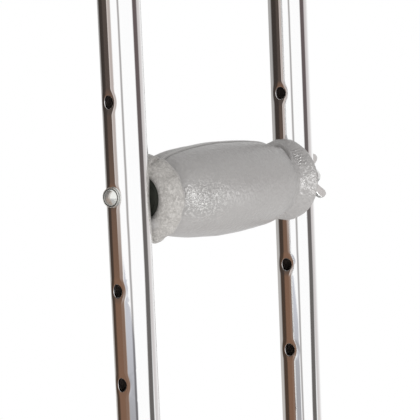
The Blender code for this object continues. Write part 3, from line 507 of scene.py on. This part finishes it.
def old_rubber(name):
    material, tree, shader = finish(name)
    place = object_place(tree)
    cloud = grain(tree, place, 70.0, 4.0, 0.6)
    skin = grain(tree, place, 1200.0, 3.0, 0.6)
    low = add(tree, "ShaderNodeSeparateXYZ", {0: place}).outputs["Z"]
    dust = times(tree, spread(tree, low, 0.016, 0.0), cloud)
    tone = blended(tree, cloud, (0.095, 0.093, 0.09), (0.15, 0.147, 0.142))
    tree.links.new(blended(tree, dust, tone, (0.26, 0.25, 0.235)), shader.inputs["Base Color"])
    tree.links.new(math_node(tree, "MULTIPLY_ADD", cloud, 0.2, 0.62), shader.inputs["Roughness"])
    tree.links.new(raised(tree, skin, 0.00008, 0.5), shader.inputs["Normal"])
    return material


def pebbled_foam(name, colour, pale, cut):
    """Closed-cell foam with a pebbled satin skin, paler and torn where it is cut, ridged in a patch with a
    painted highlight on the ridges and painted shade in the hollows.
    """
    material, tree, shader = finish(name)
    place = object_place(tree)
    warp = add(tree, "ShaderNodeTexNoise", {"Vector": place, "Scale": 260.0, "Detail": 2.0}).outputs["Color"]
    reach = (0.0026, 0.0026, 0.0026)
    push = add(tree, "ShaderNodeVectorMath", {0: warp, 1: reach}, operation="MULTIPLY").outputs[0]
    bent = add(tree, "ShaderNodeVectorMath", {0: place, 1: push}, operation="ADD").outputs[0]
    pebbles = cells(tree, bent, 640.0, "SMOOTH_F1")
    dents = grain(tree, place, 110.0, 3.0, 0.5)
    fine = grain(tree, place, 1900.0, 3.0, 0.65)
    cloud = grain(tree, place, 40.0, 3.0, 0.5)
    torn = grain(tree, place, 900.0, 5.0, 0.7)
    flecks = spread(tree, grain(tree, place, 700.0, 3.0, 0.7), 0.56, 0.64)
    shadows = spread(tree, grain(tree, place, 380.0, 3.0, 0.6), 0.50, 0.36)
    wiggles = grain(tree, stretched(tree, place, (1.0, 1.0, 1.7)), 300.0, 1.5, 0.5)
    wiggles = math_node(tree, "SUBTRACT", wiggles, 0.5)
    ridges = spread(tree, math_node(tree, "ABSOLUTE", wiggles), 0.055, 0.014)
    wear_and_highlight = add(tree, "ShaderNodeAttribute", attribute_name="highlight_patch").outputs["Fac"]
    line = add(tree, "ShaderNodeAttribute", attribute_name="mould_line").outputs["Fac"]
    highlight_ridges = times(tree, ridges, wear_and_highlight)
    shaded_hollows = math_node(tree, "SUBTRACT", wear_and_highlight, highlight_ridges)
    edge = add(tree, "ShaderNodeAttribute", attribute_name="cut_face").outputs["Fac"]
    tone = blended(tree, cloud, colour, pale)
    tops = spread(tree, pebbles, 0.62, 0.25)
    pores = spread(tree, fine, 0.56, 0.72)
    tone = blended(tree, times(tree, tops, 0.16), tone, (0.52, 0.51, 0.495))
    tone = blended(tree, times(tree, pores, 0.20), tone, (0.25, 0.24, 0.23))
    # In the patch the ridges carry a painted highlight and the hollows painted shade.
    tone = blended(tree, times(tree, highlight_ridges, 0.80), tone, (0.74, 0.73, 0.71))
    tone = blended(tree, times(tree, shaded_hollows, 0.35), tone, (0.27, 0.265, 0.255))
    # Along the seam, a painted highlight on its ridges and painted shade in its groove.
    crest = math_node(tree, "MULTIPLY", line, 0.6, clamp=True)
    tone = blended(tree, crest, tone, (0.78, 0.77, 0.75))
    groove = math_node(tree, "MULTIPLY", line, -0.45, clamp=True)
    tone = blended(tree, groove, tone, (0.22, 0.215, 0.205))
    rough_face = blended(tree, spread(tree, torn, 0.36, 0.66), (0.36, 0.34, 0.315), cut)
    rough_face = blended(tree, times(tree, shadows, 0.32), rough_face, (0.22, 0.205, 0.185))
    rough_face = blended(tree, times(tree, flecks, 0.55), rough_face, (0.74, 0.72, 0.68))
    tone = blended(tree, times(tree, edge, 0.75), tone, rough_face)
    tree.links.new(tone, shader.inputs["Base Color"])
    skin = math_node(tree, "MULTIPLY_ADD", fine, 0.14, 0.23)
    tree.links.new(math_node(tree, "MULTIPLY_ADD", edge, 0.22, skin), shader.inputs["Roughness"])
    shader.inputs["Sheen Weight"].default_value = 0.10
    shader.inputs["Sheen Roughness"].default_value = 0.5
    under = raised(tree, dents, 0.0010, 0.35)
    under = raised(tree, torn, 0.00035, times(tree, edge, 0.8), under)
    under = raised(tree, fine, 0.00006, 0.6, under)
    under = raised(tree, ridges, 0.00035, times(tree, wear_and_highlight, 0.9), under)
    tree.links.new(raised(tree, pebbles, -0.0007, 0.45, under), shader.inputs["Normal"])
    return material


# Each upright's number places its painted reflection line round the tube.
aluminium = {
    "left": polished_tube("polished_aluminium_left", 0.7194),
    "right": polished_tube("polished_aluminium_right", 0.7262),
    "leg": polished_tube("polished_aluminium_leg"),
}
bore = bore_painted_dark("bore_with_painted_shade")
zinc = plated_steel("bright_zinc")
bright_bolt = plated_steel("bright_bolt", (0.92, 0.92, 0.90), (0.78, 0.79, 0.74), 0.14, 0.75)
# A darker, rougher finish for the bolt's sunk ring: painted shade in the groove.
groove_painted_dark = plated_steel("groove_painted_dark", (0.24, 0.24, 0.23), (0.14, 0.14, 0.135), 0.45, 0.6)
wing_zinc = plated_steel("wing_zinc", (0.90, 0.90, 0.89), (0.72, 0.72, 0.71), 0.16)
spring = blued_spring("blued_spring")
black = moulded("black_plastic", (0.018, 0.018, 0.018), (0.06, 0.06, 0.06))
dusty_black = moulded("dusty_black_plastic", (0.040, 0.044, 0.034), (0.11, 0.115, 0.095), 0.7)
grey = moulded("grey_plastic", (0.13, 0.13, 0.13), (0.21, 0.21, 0.205))
nylon = moulded("natural_nylon", (0.70, 0.69, 0.65), (0.78, 0.77, 0.74), 0.5)
rubber = old_rubber("grey_rubber")
grip_foam = pebbled_foam("grip_foam", (0.382, 0.368, 0.360), (0.422, 0.407, 0.400), (0.59, 0.565, 0.535))
pad_foam = pebbled_foam("pad_foam", (0.36, 0.353, 0.342), (0.40, 0.392, 0.382), (0.46, 0.44, 0.415))


# The crutch's own pieces


def upright(side_name, side):
    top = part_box("upright_" + side_name)[1].z
    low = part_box("upright_" + side_name)[0].z
    corners = [
        (side * LOWER_HALF_WIDTH, 0.0, low),
        (side * LOWER_HALF_WIDTH, 0.0, BEND_LOW),
        (side * upright_x(BEND_TOP), 0.0, BEND_TOP),
        (side * upright_x(top), 0.0, top),
    ]
    route = rounded_route(corners, BEND_RADIUS, 24)
    holes = []
    for number in range(-3, 2):
        height = GRIP_HEIGHT + number * HOLE_PITCH
        for quarter in (0, 180):
            aside = BOLT_DRIFT * (1 if quarter == 0 else -1) if side < 0 else 0.0
            holes.append((height, quarter, BOLT_HOLE, *DIMPLE, aside))
    for height in RIVET_HEIGHTS:
        for quarter in (0, 180):
            holes.append((height, quarter, BOLT_HOLE, *NO_DIMPLE, 0.0))
    bends = [(BEND_LOW - 0.03, BEND_LOW + 0.03), (BEND_TOP - 0.03, BEND_TOP + 0.03)]
    made = drilled_tube("polished_upright_" + side_name, route, TUBE_RADIUS, TUBE_WALL, holes, bends)
    return fit(made, (aluminium[side_name], bore), "frame", "upright_" + side_name, slot="aluminium_tube")


def straight_route(node):
    low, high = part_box(node)
    return [Vector((0.0, 0.0, low.z)), Vector((0.0, 0.0, high.z))]


def leg_tubes():
    holes = [(PIVOT_HEIGHT, quarter, PIVOT_HOLE, *NO_DIMPLE, 0.0) for quarter in (0, 180)]
    holes.append((LOCK_HEIGHT, 0, BUTTON_HOLE, *NO_DIMPLE, 0.0))
    for number in range(5):
        height = LOWEST_STEP_HEIGHT + number * HEIGHT_STEP
        holes.append((height, 90, BUTTON_HOLE, *NO_DIMPLE, 0.0))
    outer = drilled_tube("polished_leg_tube", straight_route("leg_tube"), TUBE_RADIUS, TUBE_WALL, holes)
    fit(outer, (aluminium["leg"], bore), "leg", "leg_tube", slot="aluminium_tube")
    radius = TUBE_RADIUS - TUBE_WALL - 0.0003
    holes = [(HEIGHT_BUTTON_HEIGHT, 90, BUTTON_HOLE, *NO_DIMPLE, 0.0)]
    inner = drilled_tube("polished_inner_leg", straight_route("inner_leg_tube"), radius, 0.0012, holes)
    fit(inner, (aluminium["leg"], bore), "inner_leg", "inner_leg_tube", slot="aluminium_tube")


def sleeve_outline():
    """(radius, along): a rolled cuff on the left, a belly, a bell-shaped cuff on the right, then the bore."""
    roll = [
        (0.01115, -0.0612),
        (0.0120, -0.0625),
        (0.0136, -0.0638),
        (0.0160, -0.0643),
        (0.0185, -0.0634),
        (0.0207, -0.0616),
        (0.0223, -0.0590),
        (0.0228, -0.0564),
        (0.0221, -0.0541),
        (0.0202, -0.0524),
        (0.0183, -0.0511),
        (0.0179, -0.0494),
        (0.0190, -0.0472),
        (0.0209, -0.0430),
        (0.0227, -0.0340),
        (0.0241, -0.0200),
        (0.0249, 0.0),
    ]
    bell = [
        (0.0242, 0.0200),
        (0.0231, 0.0340),
        (0.0207, 0.0440),
        (0.0187, 0.0490),
        (0.0179, 0.0520),
        (0.0183, 0.0546),
        (0.0200, 0.0572),
        (0.0218, 0.0598),
        (0.0224, 0.0622),
        (0.0213, 0.0641),
        (0.0185, 0.0651),
        (0.0150, 0.0651),
        (0.0124, 0.0644),
        (0.01115, 0.0625),
    ]
    inside = [(0.01115, 0.0575 - 0.115 * step / 12) for step in range(13)]
    return smooth_curve(roll + bell, 6) + inside


def bump(value, middle, width):
    return math.exp(-(((value - middle) / width) ** 2))


def mould_line(x, turn, radius):
    """The seam along the sleeve's top: two fine ridges with a groove on the camera's side."""
    across = math.remainder(turn + math.radians(9.5), math.tau) * radius
    there = smooth_step(0.0520, 0.0470, x) * smooth_step(0.0600, 0.0560, -x)
    ridges = bump(across, 0.0001, 0.00038) + 0.8 * bump(across, 0.0014, 0.00040)
    return (ridges - 1.3 * bump(across, -0.0012, 0.00055)) * there


def painted_highlight_patch(x, turn):
    """Where a highlight is painted on the skin, as pale ridges with painted shade in the hollows between: the
    left part of the belly's front and the right cuff's slope.
    """
    belly = bump(x, -0.038, 0.017) * bump(turn, math.radians(-99), math.radians(22))
    belly *= smooth_step(-0.0530, -0.0490, x)
    slope = bump(x, 0.0580, 0.0055) * bump(turn, math.radians(-86), math.radians(30))
    return min(1.0, 1.15 * belly + 0.5 * slope)


def sleeve_relief(x, turn, radius):
    """How far the skin stands out at a place. Turn 0 is the sleeve's top, and it grows towards the back."""
    away = Vector((x, 0.022 * math.sin(turn), 0.022 * math.cos(turn)))
    cuff = smooth_step(0.0490, 0.0540, abs(x))
    relief = noise.noise(away * 55) * 0.00035
    lumps = cuff if x < 0 else 0.4 * cuff
    relief += noise.noise(away * 170) * (0.00010 + 0.00100 * lumps)
    relief += noise.noise(away * 430) * (0.00004 + 0.00035 * lumps)
    relief += 0.00042 * mould_line(x, turn, radius)
    if x < 0:
        share = (radius - 0.0115) / 0.0105
        crease = math.remainder(turn + math.radians(33 - 9 * share), math.tau) * max(radius, 0.012)
        relief -= 0.0022 * bump(crease, 0.0, 0.0011) * cuff
        lobe = math.remainder(turn + math.radians(2), math.tau)
        relief -= 0.0009 * bump(lobe, 0.0, 0.30) * cuff
        low = math.remainder(turn - math.radians(195), math.tau)
        relief += 0.0007 * bump(low, 0.0, 0.30) * cuff
        flap = math.remainder(turn + math.radians(146), math.tau)
        relief -= 0.0016 * bump(flap, 0.0, 0.16) * smooth_step(0.0195, 0.0150, radius) * cuff
    else:
        slope = bump(x, 0.0565, 0.0032)
        upper = smooth_step(math.radians(-74), math.radians(-62), turn)
        upper *= smooth_step(math.radians(-26), math.radians(-36), turn)
        relief += 0.00060 * slope * upper * math.sin(turn * 70 + 900 * x)
        relief += 0.0016 * bump(x, 0.0515, 0.0035) * bump(turn, math.radians(-24), math.radians(26))
        along = x - 0.0515 - 0.006 * (turn + math.radians(30))
        reach = smooth_step(math.radians(-58), math.radians(-38), turn)
        reach *= smooth_step(math.radians(6), math.radians(-10), turn)
        relief -= 0.0030 * bump(along, 0.0, 0.0009) * reach
        relief += 0.0015 * bump(along, 0.0022, 0.0011) * reach
    return relief


def hand_grip():
    """Foam sleeve: long belly, valleys and a flared, lumpy cuff at each end that takes the tube's shape."""
    bm = turned(sleeve_outline(), 208, closed=True)
    cut = bm.verts.layers.float.new("cut_face")
    wear_and_highlight = bm.verts.layers.float.new("highlight_patch")
    line = bm.verts.layers.float.new("mould_line")
    seam = math.radians(-9.5)
    for vert in bm.verts:
        x = vert.co.z
        radius = vert.co.xy.length
        turn = math.atan2(vert.co.y, -vert.co.x)
        turn -= 0.28 * math.sin(2 * (turn - seam))
        # The flap keeps the darker skin colour, not the pale cut face: painted shade where it sits recessed.
        flap = bump(turn, math.radians(-146), math.radians(11)) * smooth_step(0.0200, 0.0170, radius)
        left_cut = smooth_step(0.0530, 0.0570, -x) * (1 - 0.9 * flap)
        vert[cut] = left_cut + 0.4 * smooth_step(0.0600, 0.0640, x)
        # The patch where a highlight and shade are painted on the skin.
        vert[wear_and_highlight] = painted_highlight_patch(x, turn)
        # The seam's shape, kept for its painted highlight and shade.
        vert[line] = mould_line(x, turn, radius)
        if radius > 0.0112:
            share = smooth_step(0.0113, 0.0150, radius)
            relief = sleeve_relief(x, turn, radius) * share
            cuff = smooth_step(0.0615, 0.0645, abs(x))
            radius += relief * (1 - cuff)
            x += math.copysign(relief * cuff, x)
        vert.co = (-radius * math.cos(turn), radius * math.sin(turn), x)
    bmesh.ops.transform(bm, matrix=SLEEVE_PLACE, verts=bm.verts)
    for vert in bm.verts:
        side = math.copysign(1.0, vert.co.x)
        axis = side * upright_x(vert.co.z)
        room = TUBE_RADIUS + 0.00025
        if abs(vert.co.y) < room:
            limit = axis - side * math.sqrt(room**2 - vert.co.y**2)
            if side * vert.co.x > side * limit:
                vert.co.x = limit
    bm.normal_update()
    made = made_piece("foam_hand_grip", bm, sharp=80)
    fit(made, grip_foam, "frame", "hand_grip", slot="grip_foam")
    half = [(0.0084, 0.0606), (0.0110, 0.0606), (0.0110, 0.0590), (0.0108, 0.0588)]
    profile = [(radius, -height) for radius, height in half] + half[::-1]
    core = made_piece("moulded_grip_core", turned(profile, 64, closed=True), SLEEVE_PLACE)
    fit(core, dusty_black, "frame", "grip_core", slot="black_plastic")
    for side_name, side in {"left": -1, "right": 1}.items():
        low, high = sorted((side * 0.0604, side * 0.0510))
        ring = [(0.0050, low + 0.0004), (0.0054, low), (0.0078, low), (0.0082, low + 0.0004)]
        ring += [(0.0082, high - 0.0004), (0.0078, high), (0.0054, high), (0.0050, high - 0.0004)]
        plug = made_piece("loose_grip_plug_" + side_name, turned(ring, 64, closed=True), SLEEVE_PLACE)
        fit(plug, dusty_black, "frame", "grip_plug_" + side_name, slot="black_plastic")
    return made


def settled(made):
    """The mesh as its modifiers leave it, with the modifiers gone."""
    graph = bpy.context.evaluated_depsgraph_get()
    shaped = bpy.data.meshes.new_from_object(made.evaluated_get(graph))
    made.modifiers.clear()
    made.data = shaped


def swollen(made, held, pressure, most):
    """A short cloth run: air pressure swells the skin round the points that are held."""
    before = [vert.co.copy() for vert in made.data.vertices]
    group = made.vertex_groups.new(name="held")
    group.add([vert.index for vert in made.data.vertices if held(vert.co)], 1.0, "REPLACE")
    cloth = made.modifiers.new("Cloth", "CLOTH")
    cloth.settings.use_pressure = True
    cloth.settings.uniform_pressure_force = pressure
    cloth.settings.vertex_group_mass = "held"
    cloth.settings.effector_weights.gravity = 0.0
    cloth.settings.shrink_min = -0.03
    for frame in range(1, 21):
        bpy.context.scene.frame_set(frame)
    settled(made)
    bpy.context.scene.frame_set(1)
    for vert, start in zip(made.data.vertices, before):
        moved = vert.co - start
        if moved.length > most:
            vert.co = start + moved * (most / moved.length)
    made.vertex_groups.clear()


def underarm_pad():
    """The pad's foam swells under its skin and is held where the bar fills its pocket."""
    made = softened("underarm_pad", 0.004, 3)
    made.name = "foam_underarm_pad"
    settled(made)
    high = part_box("underarm_bar")[1]

    def held(place):
        return abs(place.y) < high.y + 0.003 and place.z < high.z + 0.003

    swollen(made, held, 4.0, 0.005)
    made.data.shade_smooth()
    fine = made.modifiers.new("Fine", "SUBSURF")
    fine.levels = 1
    fine.render_levels = 1
    fit(made, pad_foam, "frame", "underarm_pad", slot="pad_foam")
    return made


def grip_bolt():
    """A low dome with a sunk ring inside its raised rim, and a threaded end. The bolt lies a little askew."""
    low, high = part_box("grip_bolt")
    seat = -(HALF_WIDTH + TUBE_RADIUS + 0.0003)
    profile = [(0.0, high.x), (0.0022, high.x), (0.0027, high.x - 0.0005)]
    thread_low = 0.080
    thread_high = high.x - 0.0012
    rise = thread_high - thread_low
    steps = int(rise / 0.00018)
    profile += [(0.0032, thread_high - rise * step / steps) for step in range(steps + 1)]
    rim = [(0.0032, 0.0), (0.0049, 0.0), (0.0051, 0.0002), (0.0051, 0.0006), (0.0050, 0.0008)]
    rim += [(0.0048, 0.0008), (0.0047, 0.0007), (0.0046, 0.0002), (0.0043, 0.0002), (0.0042, 0.0006)]
    profile += [(radius, seat - out) for radius, out in rim]
    crown = low.x + 0.0001
    rise = seat - 0.0006 - crown
    ball = (0.0042**2 + rise**2) / (2 * rise)
    reach = math.asin(0.0042 / ball)
    for step in range(1, 15):
        turn = reach * (1 - step / 14)
        profile.append((ball * math.sin(turn), crown + ball * (1 - math.cos(turn))))
    profile[-1] = (0.0, crown)
    bm = turned(profile, 64)
    pitch = 0.0012
    for vert in bm.verts:
        if vert.co.z > thread_low and vert.co.xy.length > 0.0030:
            turn = math.atan2(vert.co.y, vert.co.x) / math.tau
            phase = (vert.co.z / pitch - turn) % 1.0
            radius = vert.co.xy.length - 0.0004 * (1 - abs(2 * phase - 1))
            way = vert.co.xy.normalized()
            vert.co.x = way.x * radius
            vert.co.y = way.y * radius
    # The sunk ring's faces take the dark finish: painted shade in the groove.
    for face in bm.faces:
        middle = face.calc_center_median()
        if seat - 0.0006 < middle.z < seat - 0.00015 and 0.0042 < middle.xy.length < 0.0047:
            face.material_index = 1
    length = 2 * (HALF_WIDTH + TUBE_RADIUS)
    for vert in bm.verts:
        vert.co.y += BOLT_DRIFT * (TUBE_RADIUS + HALF_WIDTH - vert.co.z) / length
        vert.co.x += 0.0003
    made = made_piece("polished_grip_bolt", bm, AT_GRIP @ ALONG_X, sharp=50)
    return fit(made, (bright_bolt, groove_painted_dark), "frame", "grip_bolt", slot="zinc_steel")


def softened(node_name, voxel, rounds):
    """A copy of a built solid with its edges melted round, as a casting has them."""
    bm = bmesh.new()
    bm.from_mesh(nodes[node_name].data)
    bmesh.ops.remove_doubles(bm, verts=bm.verts, dist=1e-6)
    bmesh.ops.recalc_face_normals(bm, faces=bm.faces)
    made = made_piece("soft_" + node_name, bm, sharp=80)
    melt = made.modifiers.new("Remesh", "REMESH")
    melt.mode = "VOXEL"
    melt.voxel_size = voxel
    melt.use_smooth_shade = True
    soft = made.modifiers.new("Soft", "SMOOTH")
    soft.factor = 0.5
    soft.iterations = rounds
    return made


def wing_nut():
    return fit(softened("wing_nut", 0.0003, 4), wing_zinc, "wing", "wing_nut", slot="zinc_steel")


def carried_over():
    finishes = {
        "zinc": zinc,
        "spring": spring,
        "black": black,
        "grey": grey,
        "nylon": nylon,
        "rubber": rubber,
    }
    kinds = {
        "wing_washer": "zinc",
        "hinge_bracket": "zinc",
        "pivot_bolt": "zinc",
        "pivot_nut": "zinc",
        "pivot_washer_left": "zinc",
        "pivot_washer_right": "zinc",
        "tip_washer": "zinc",
        "top_rivet_left": "zinc",
        "top_rivet_right": "zinc",
        "bracket_rivet_left_lower": "zinc",
        "bracket_rivet_left_upper": "zinc",
        "bracket_rivet_right_lower": "zinc",
        "bracket_rivet_right_upper": "zinc",
        "lock_clip": "spring",
        "height_clip": "spring",
        "upright_plug_left": "black",
        "upright_plug_right": "black",
        "leg_cap": "black",
        "leg_collar": "black",
        "underarm_bar": "grey",
        "pivot_bush": "nylon",
        "inner_leg_plug": "nylon",
        "rubber_tip": "rubber",
    }
    for name, kind in kinds.items():
        node = nodes[name]
        node.data.materials.clear()
        node.data.materials.append(finishes[kind])


# The studio round the crutch


def turned_from_camera(degrees):
    """A level direction, counted from the one towards the camera and growing to its right."""
    return TOWARDS * math.cos(math.radians(degrees)) + SIDE * math.sin(math.radians(degrees))


def card(name, radius, turns, heights, glow):
    """A curved reflection card round the grip, seen only by mirror-like surfaces."""
    bm = bmesh.new()
    start = turned_from_camera(turns[0])
    ends = [bm.verts.new((start.x * radius, start.y * radius, height)) for height in heights]
    sweep_round(bm, ends, turns)
    return only_mirrored(made_piece(name, bm), glow)


def sweep_round(bm, ends, turns):
    edge = bm.edges.new(ends)
    bmesh.ops.spin(
        bm,
        geom=ends + [edge],
        cent=(0.0, 0.0, 0.0),
        axis=(0.0, 0.0, 1.0),
        angle=math.radians(turns[1] - turns[0]),
        steps=64,
    )


def only_mirrored(made, glow):
    made.data.materials.append(glow)
    made.visible_camera = False
    made.visible_diffuse = False
    made.visible_shadow = False
    made.visible_transmission = False
    made.visible_volume_scatter = False
    return made


def card_glow(name, tones, between, left, right, slant, fade):
    """A card's tone, from below to above between two heights, and its two soft upright edges.

    Each edge runs straight from its first turn at the slant's lower height to its second at the upper one.
    """
    material = bpy.data.materials.new(name)
    material.use_nodes = True
    tree = material.node_tree
    tree.nodes.clear()
    place = object_place(tree)
    ahead = along_way(tree, place, TOWARDS)
    aside = along_way(tree, place, SIDE)
    turn = times(tree, math_node(tree, "ARCTAN2", aside, ahead), 180 / math.pi)
    height = add(tree, "ShaderNodeSeparateXYZ", {0: place}).outputs["Z"]
    tone = blended(tree, spread(tree, height, *between), *tones)
    glow = add(tree, "ShaderNodeEmission", {"Color": tone, "Strength": 1.0}).outputs[0]
    inside = []
    for edge, soft in ((left, fade[0]), (right, -fade[1])):
        at = spread(tree, height, *slant, *edge, smooth=False)
        inside.append(spread(tree, math_node(tree, "SUBTRACT", turn, at), -soft, soft))
    there = times(tree, *inside)
    clear = add(tree, "ShaderNodeBsdfTransparent").outputs[0]
    mixed = add(tree, "ShaderNodeMixShader", {0: there, 1: clear, 2: glow}).outputs[0]
    out = add(tree, "ShaderNodeOutputMaterial")
    tree.links.new(mixed, out.inputs["Surface"])
    return material


def tone(*shown):
    """The light that shows as a display colour from 0 to 255."""
    shares = [value / 255 for value in shown]
    return tuple(share / 12.92 if share <= 0.04045 else ((share + 0.055) / 1.055) ** 2.4 for share in shares)


def reflection_cards():
    """The upright cards: a curtain, brown and beige panels on the left, a post on the right, a low wall.

    Each row: name, radius, turns, heights, glow, its tones below and above, the heights between which
    they change, the left and the right edge, the heights of their slant, and how softly they fade.
    """
    full = (0.0, 1.5)
    tall = (-0.5, 2.0)
    upright_edge = (0, 1)
    rows = [
        ("card_room", 0.66, (-178, -100), full, "shade_of_room", (190, 186, 182), (168, 166, 164),
         (0.6, 0.95), (-176, -176), (-118, -118), upright_edge, (6, 14)),
        ("card_dark", 0.42, (-142, -60), full, "dark_curtain", (73, 59, 49), (60, 54, 50),
         (0.70, 0.92), (-129, -129), (-66, -66), upright_edge, (9, 3)),
        ("card_brown", 0.30, (-104, -55), full, "brown_panel", (124, 95, 77), (82, 73, 68),
         (0.75, 0.94), (-93, -86), (-58, -60), (0.77, 0.94), (6, 1.5)),
        ("card_beige", 0.305, (-70, -36), full, "beige_panel", (132, 106, 90), (186, 176, 171),
         (0.765, 0.86), (-66, -66), (-42, -44), (0.72, 0.88), (2, 3)),
        ("card_strip", 0.303, (-64, -50), (0.80, 1.5), "pale_strip", (150, 126, 112), (214, 205, 200),
         (0.79, 0.86), (-60, -60), (-56, -56), upright_edge, (1.5, 3)),
        ("card_grey", 0.656, (-50, 8), (0.0, 0.79), "grey_window", (163, 163, 166), (197, 198, 205),
         (0.64, 0.74), (-44, -40), (-4, -46), (0.715, 0.785), (2, 2)),
        ("card_post", 3.0, (55, 120), tall, "dark_post", (104, 101, 99), (100, 90, 90),
         (0.5, 1.0), (62, 71), (93, 102), (0.32, 0.55), (4, 5)),
        ("card_wall", 3.05, (90, 160), tall, "pale_wall", (208, 204, 203), (208, 203, 202),
         (0, 1), (100, 100), (132, 132), upright_edge, (4, 22)),
        ("card_low", 0.9, (-180, 180), (0.0, 0.50), "low_wall", (126, 126, 124), (240, 240, 239),
         (-0.1, 0.50), (-200, -200), (200, 200), upright_edge, (4, 4)),
    ]
    for name, radius, turns, heights, glow_name, low_tone, high_tone, *edges in rows:
        glow = card_glow(glow_name, (tone(*low_tone), tone(*high_tone)), *edges)
        card(name, radius, turns, heights, glow)


def studio(glossy_pieces):
    world = bpy.data.worlds.new("studio")
    bpy.context.scene.world = world
    world.use_nodes = True
    tree = world.node_tree
    path = add(tree, "ShaderNodeLightPath")
    seen = math_node(tree, "MAXIMUM", path.outputs["Is Camera Ray"], path.outputs["Is Glossy Ray"])
    seen = math_node(tree, "MAXIMUM", seen, path.outputs["Is Transmission Ray"])
    way = add(tree, "ShaderNodeTexCoord").outputs["Generated"]
    above = add(tree, "ShaderNodeSeparateXYZ", {0: way}).outputs["Z"]
    low_front = (turned_from_camera(25) - Vector((0.0, 0.0, 1.0))).normalized()
    facing = along_way(tree, way, low_front)
    soft = spread(tree, above, 0.0, 0.9, 0.74, 0.46)
    soft = math_node(tree, "ADD", soft, spread(tree, facing, 0.55, 1.0, 0.0, 0.9))
    level = math_node(tree, "MULTIPLY_ADD", seen, math_node(tree, "SUBTRACT", 1.0, soft), soft)
    tree.links.new(level, tree.nodes["Background"].inputs["Strength"])
    tree.nodes["Background"].inputs["Color"].default_value = (1.0, 1.0, 1.0, 1.0)

    shone_on = bpy.data.collections.new("shone_on")
    for piece in glossy_pieces:
        shone_on.objects.link(piece)

    def lamp(name, turn, distance, height, aim, size, power, mirrored):
        light = bpy.data.lights.new(name, "AREA")
        light.shape = "RECTANGLE"
        light.size = size[0]
        light.size_y = size[1]
        light.energy = power
        made = bpy.data.objects.new(name, light)
        bpy.context.scene.collection.objects.link(made)
        spot = turned_from_camera(turn) * distance
        spot.z = height
        made.location = spot
        made.rotation_euler = (Vector((0.0, 0.0, aim)) - spot).to_track_quat("-Z", "Y").to_euler()
        made.visible_camera = False
        made.visible_glossy = mirrored
        made.visible_diffuse = not mirrored
        if mirrored:
            made.light_linking.receiver_collection = shone_on
        return made

    lamp("soft_front", 0, 2.2, 0.50, 0.82, (1.6, 1.0), 8, False)
    lamp("soft_right", 79, 1.5, 0.44, 0.86, (0.56, 0.50), 7.5, True)
    lamp("small_right", 54, 1.5, 0.76, 0.86, (0.62, 0.62), 15, True)

    bm = bmesh.new()
    bmesh.ops.create_circle(bm, cap_ends=True, segments=96, radius=3.2)
    bmesh.ops.translate(bm, verts=bm.verts, vec=(0.0, 0.0, -0.0002))
    floor = made_piece("floor", bm)
    material, tree, shader = finish("pale_floor")
    place = object_place(tree)
    flat = add(tree, "ShaderNodeVectorMath", {0: place}, operation="LENGTH").outputs["Value"]
    cloud = grain(tree, place, 3.0, 3.0, 0.5)
    shade = blended(tree, cloud, (0.84, 0.84, 0.84), (0.88, 0.88, 0.88))
    tree.links.new(shade, shader.inputs["Base Color"])
    shader.inputs["Roughness"].default_value = 0.7
    path = add(tree, "ShaderNodeLightPath")
    seen = math_node(tree, "MAXIMUM", path.outputs["Is Camera Ray"], path.outputs["Is Glossy Ray"])
    mirrored = times(tree, path.outputs["Is Glossy Ray"], 0.7)
    away = math_node(tree, "MAXIMUM", spread(tree, flat, 0.5, 2.4, 0.35, 1.0), mirrored)
    away = times(tree, away, seen)
    level = math_node(tree, "SUBTRACT", 1.0, mirrored)
    white = add(tree, "ShaderNodeEmission", {"Color": (1.0, 1.0, 1.0, 1.0), "Strength": level}).outputs[0]
    mixed = add(tree, "ShaderNodeMixShader", {0: away, 1: shader.outputs[0], 2: white}).outputs[0]
    clear = add(tree, "ShaderNodeBsdfTransparent").outputs[0]
    seen_through = math_node(tree, "SUBTRACT", 1.0, seen)
    mixed = add(tree, "ShaderNodeMixShader", {0: seen_through, 1: mixed, 2: clear}).outputs[0]
    tree.links.new(mixed, tree.nodes["Material Output"].inputs["Surface"])
    floor.data.materials.append(material)


def camera():
    lens = bpy.data.cameras.new("camera")
    lens.lens = 196.2
    lens.sensor_width = 36.0
    made = bpy.data.objects.new("camera", lens)
    bpy.context.scene.collection.objects.link(made)
    target = Vector((-0.00558, 0.0, GRIP_HEIGHT - 0.01225))
    level = SIDE.cross(VIEW)
    right = math.cos(ROLL) * SIDE + math.sin(ROLL) * level
    above = -math.sin(ROLL) * SIDE + math.cos(ROLL) * level
    turn = Matrix((right, above, -VIEW)).transposed()
    made.matrix_world = Matrix.Translation(target - 1.2136 * VIEW) @ turn.to_4x4()
    bpy.context.scene.camera = made


for side_name, side in {"left": -1, "right": 1}.items():
    upright(side_name, side)
leg_tubes()
grip = hand_grip()
underarm_pad()
grip_bolt()
nut = wing_nut()
carried_over()
reflection_cards()
studio((grip, nut))
camera()
bpy.context.scene.view_settings.view_transform = "Standard"
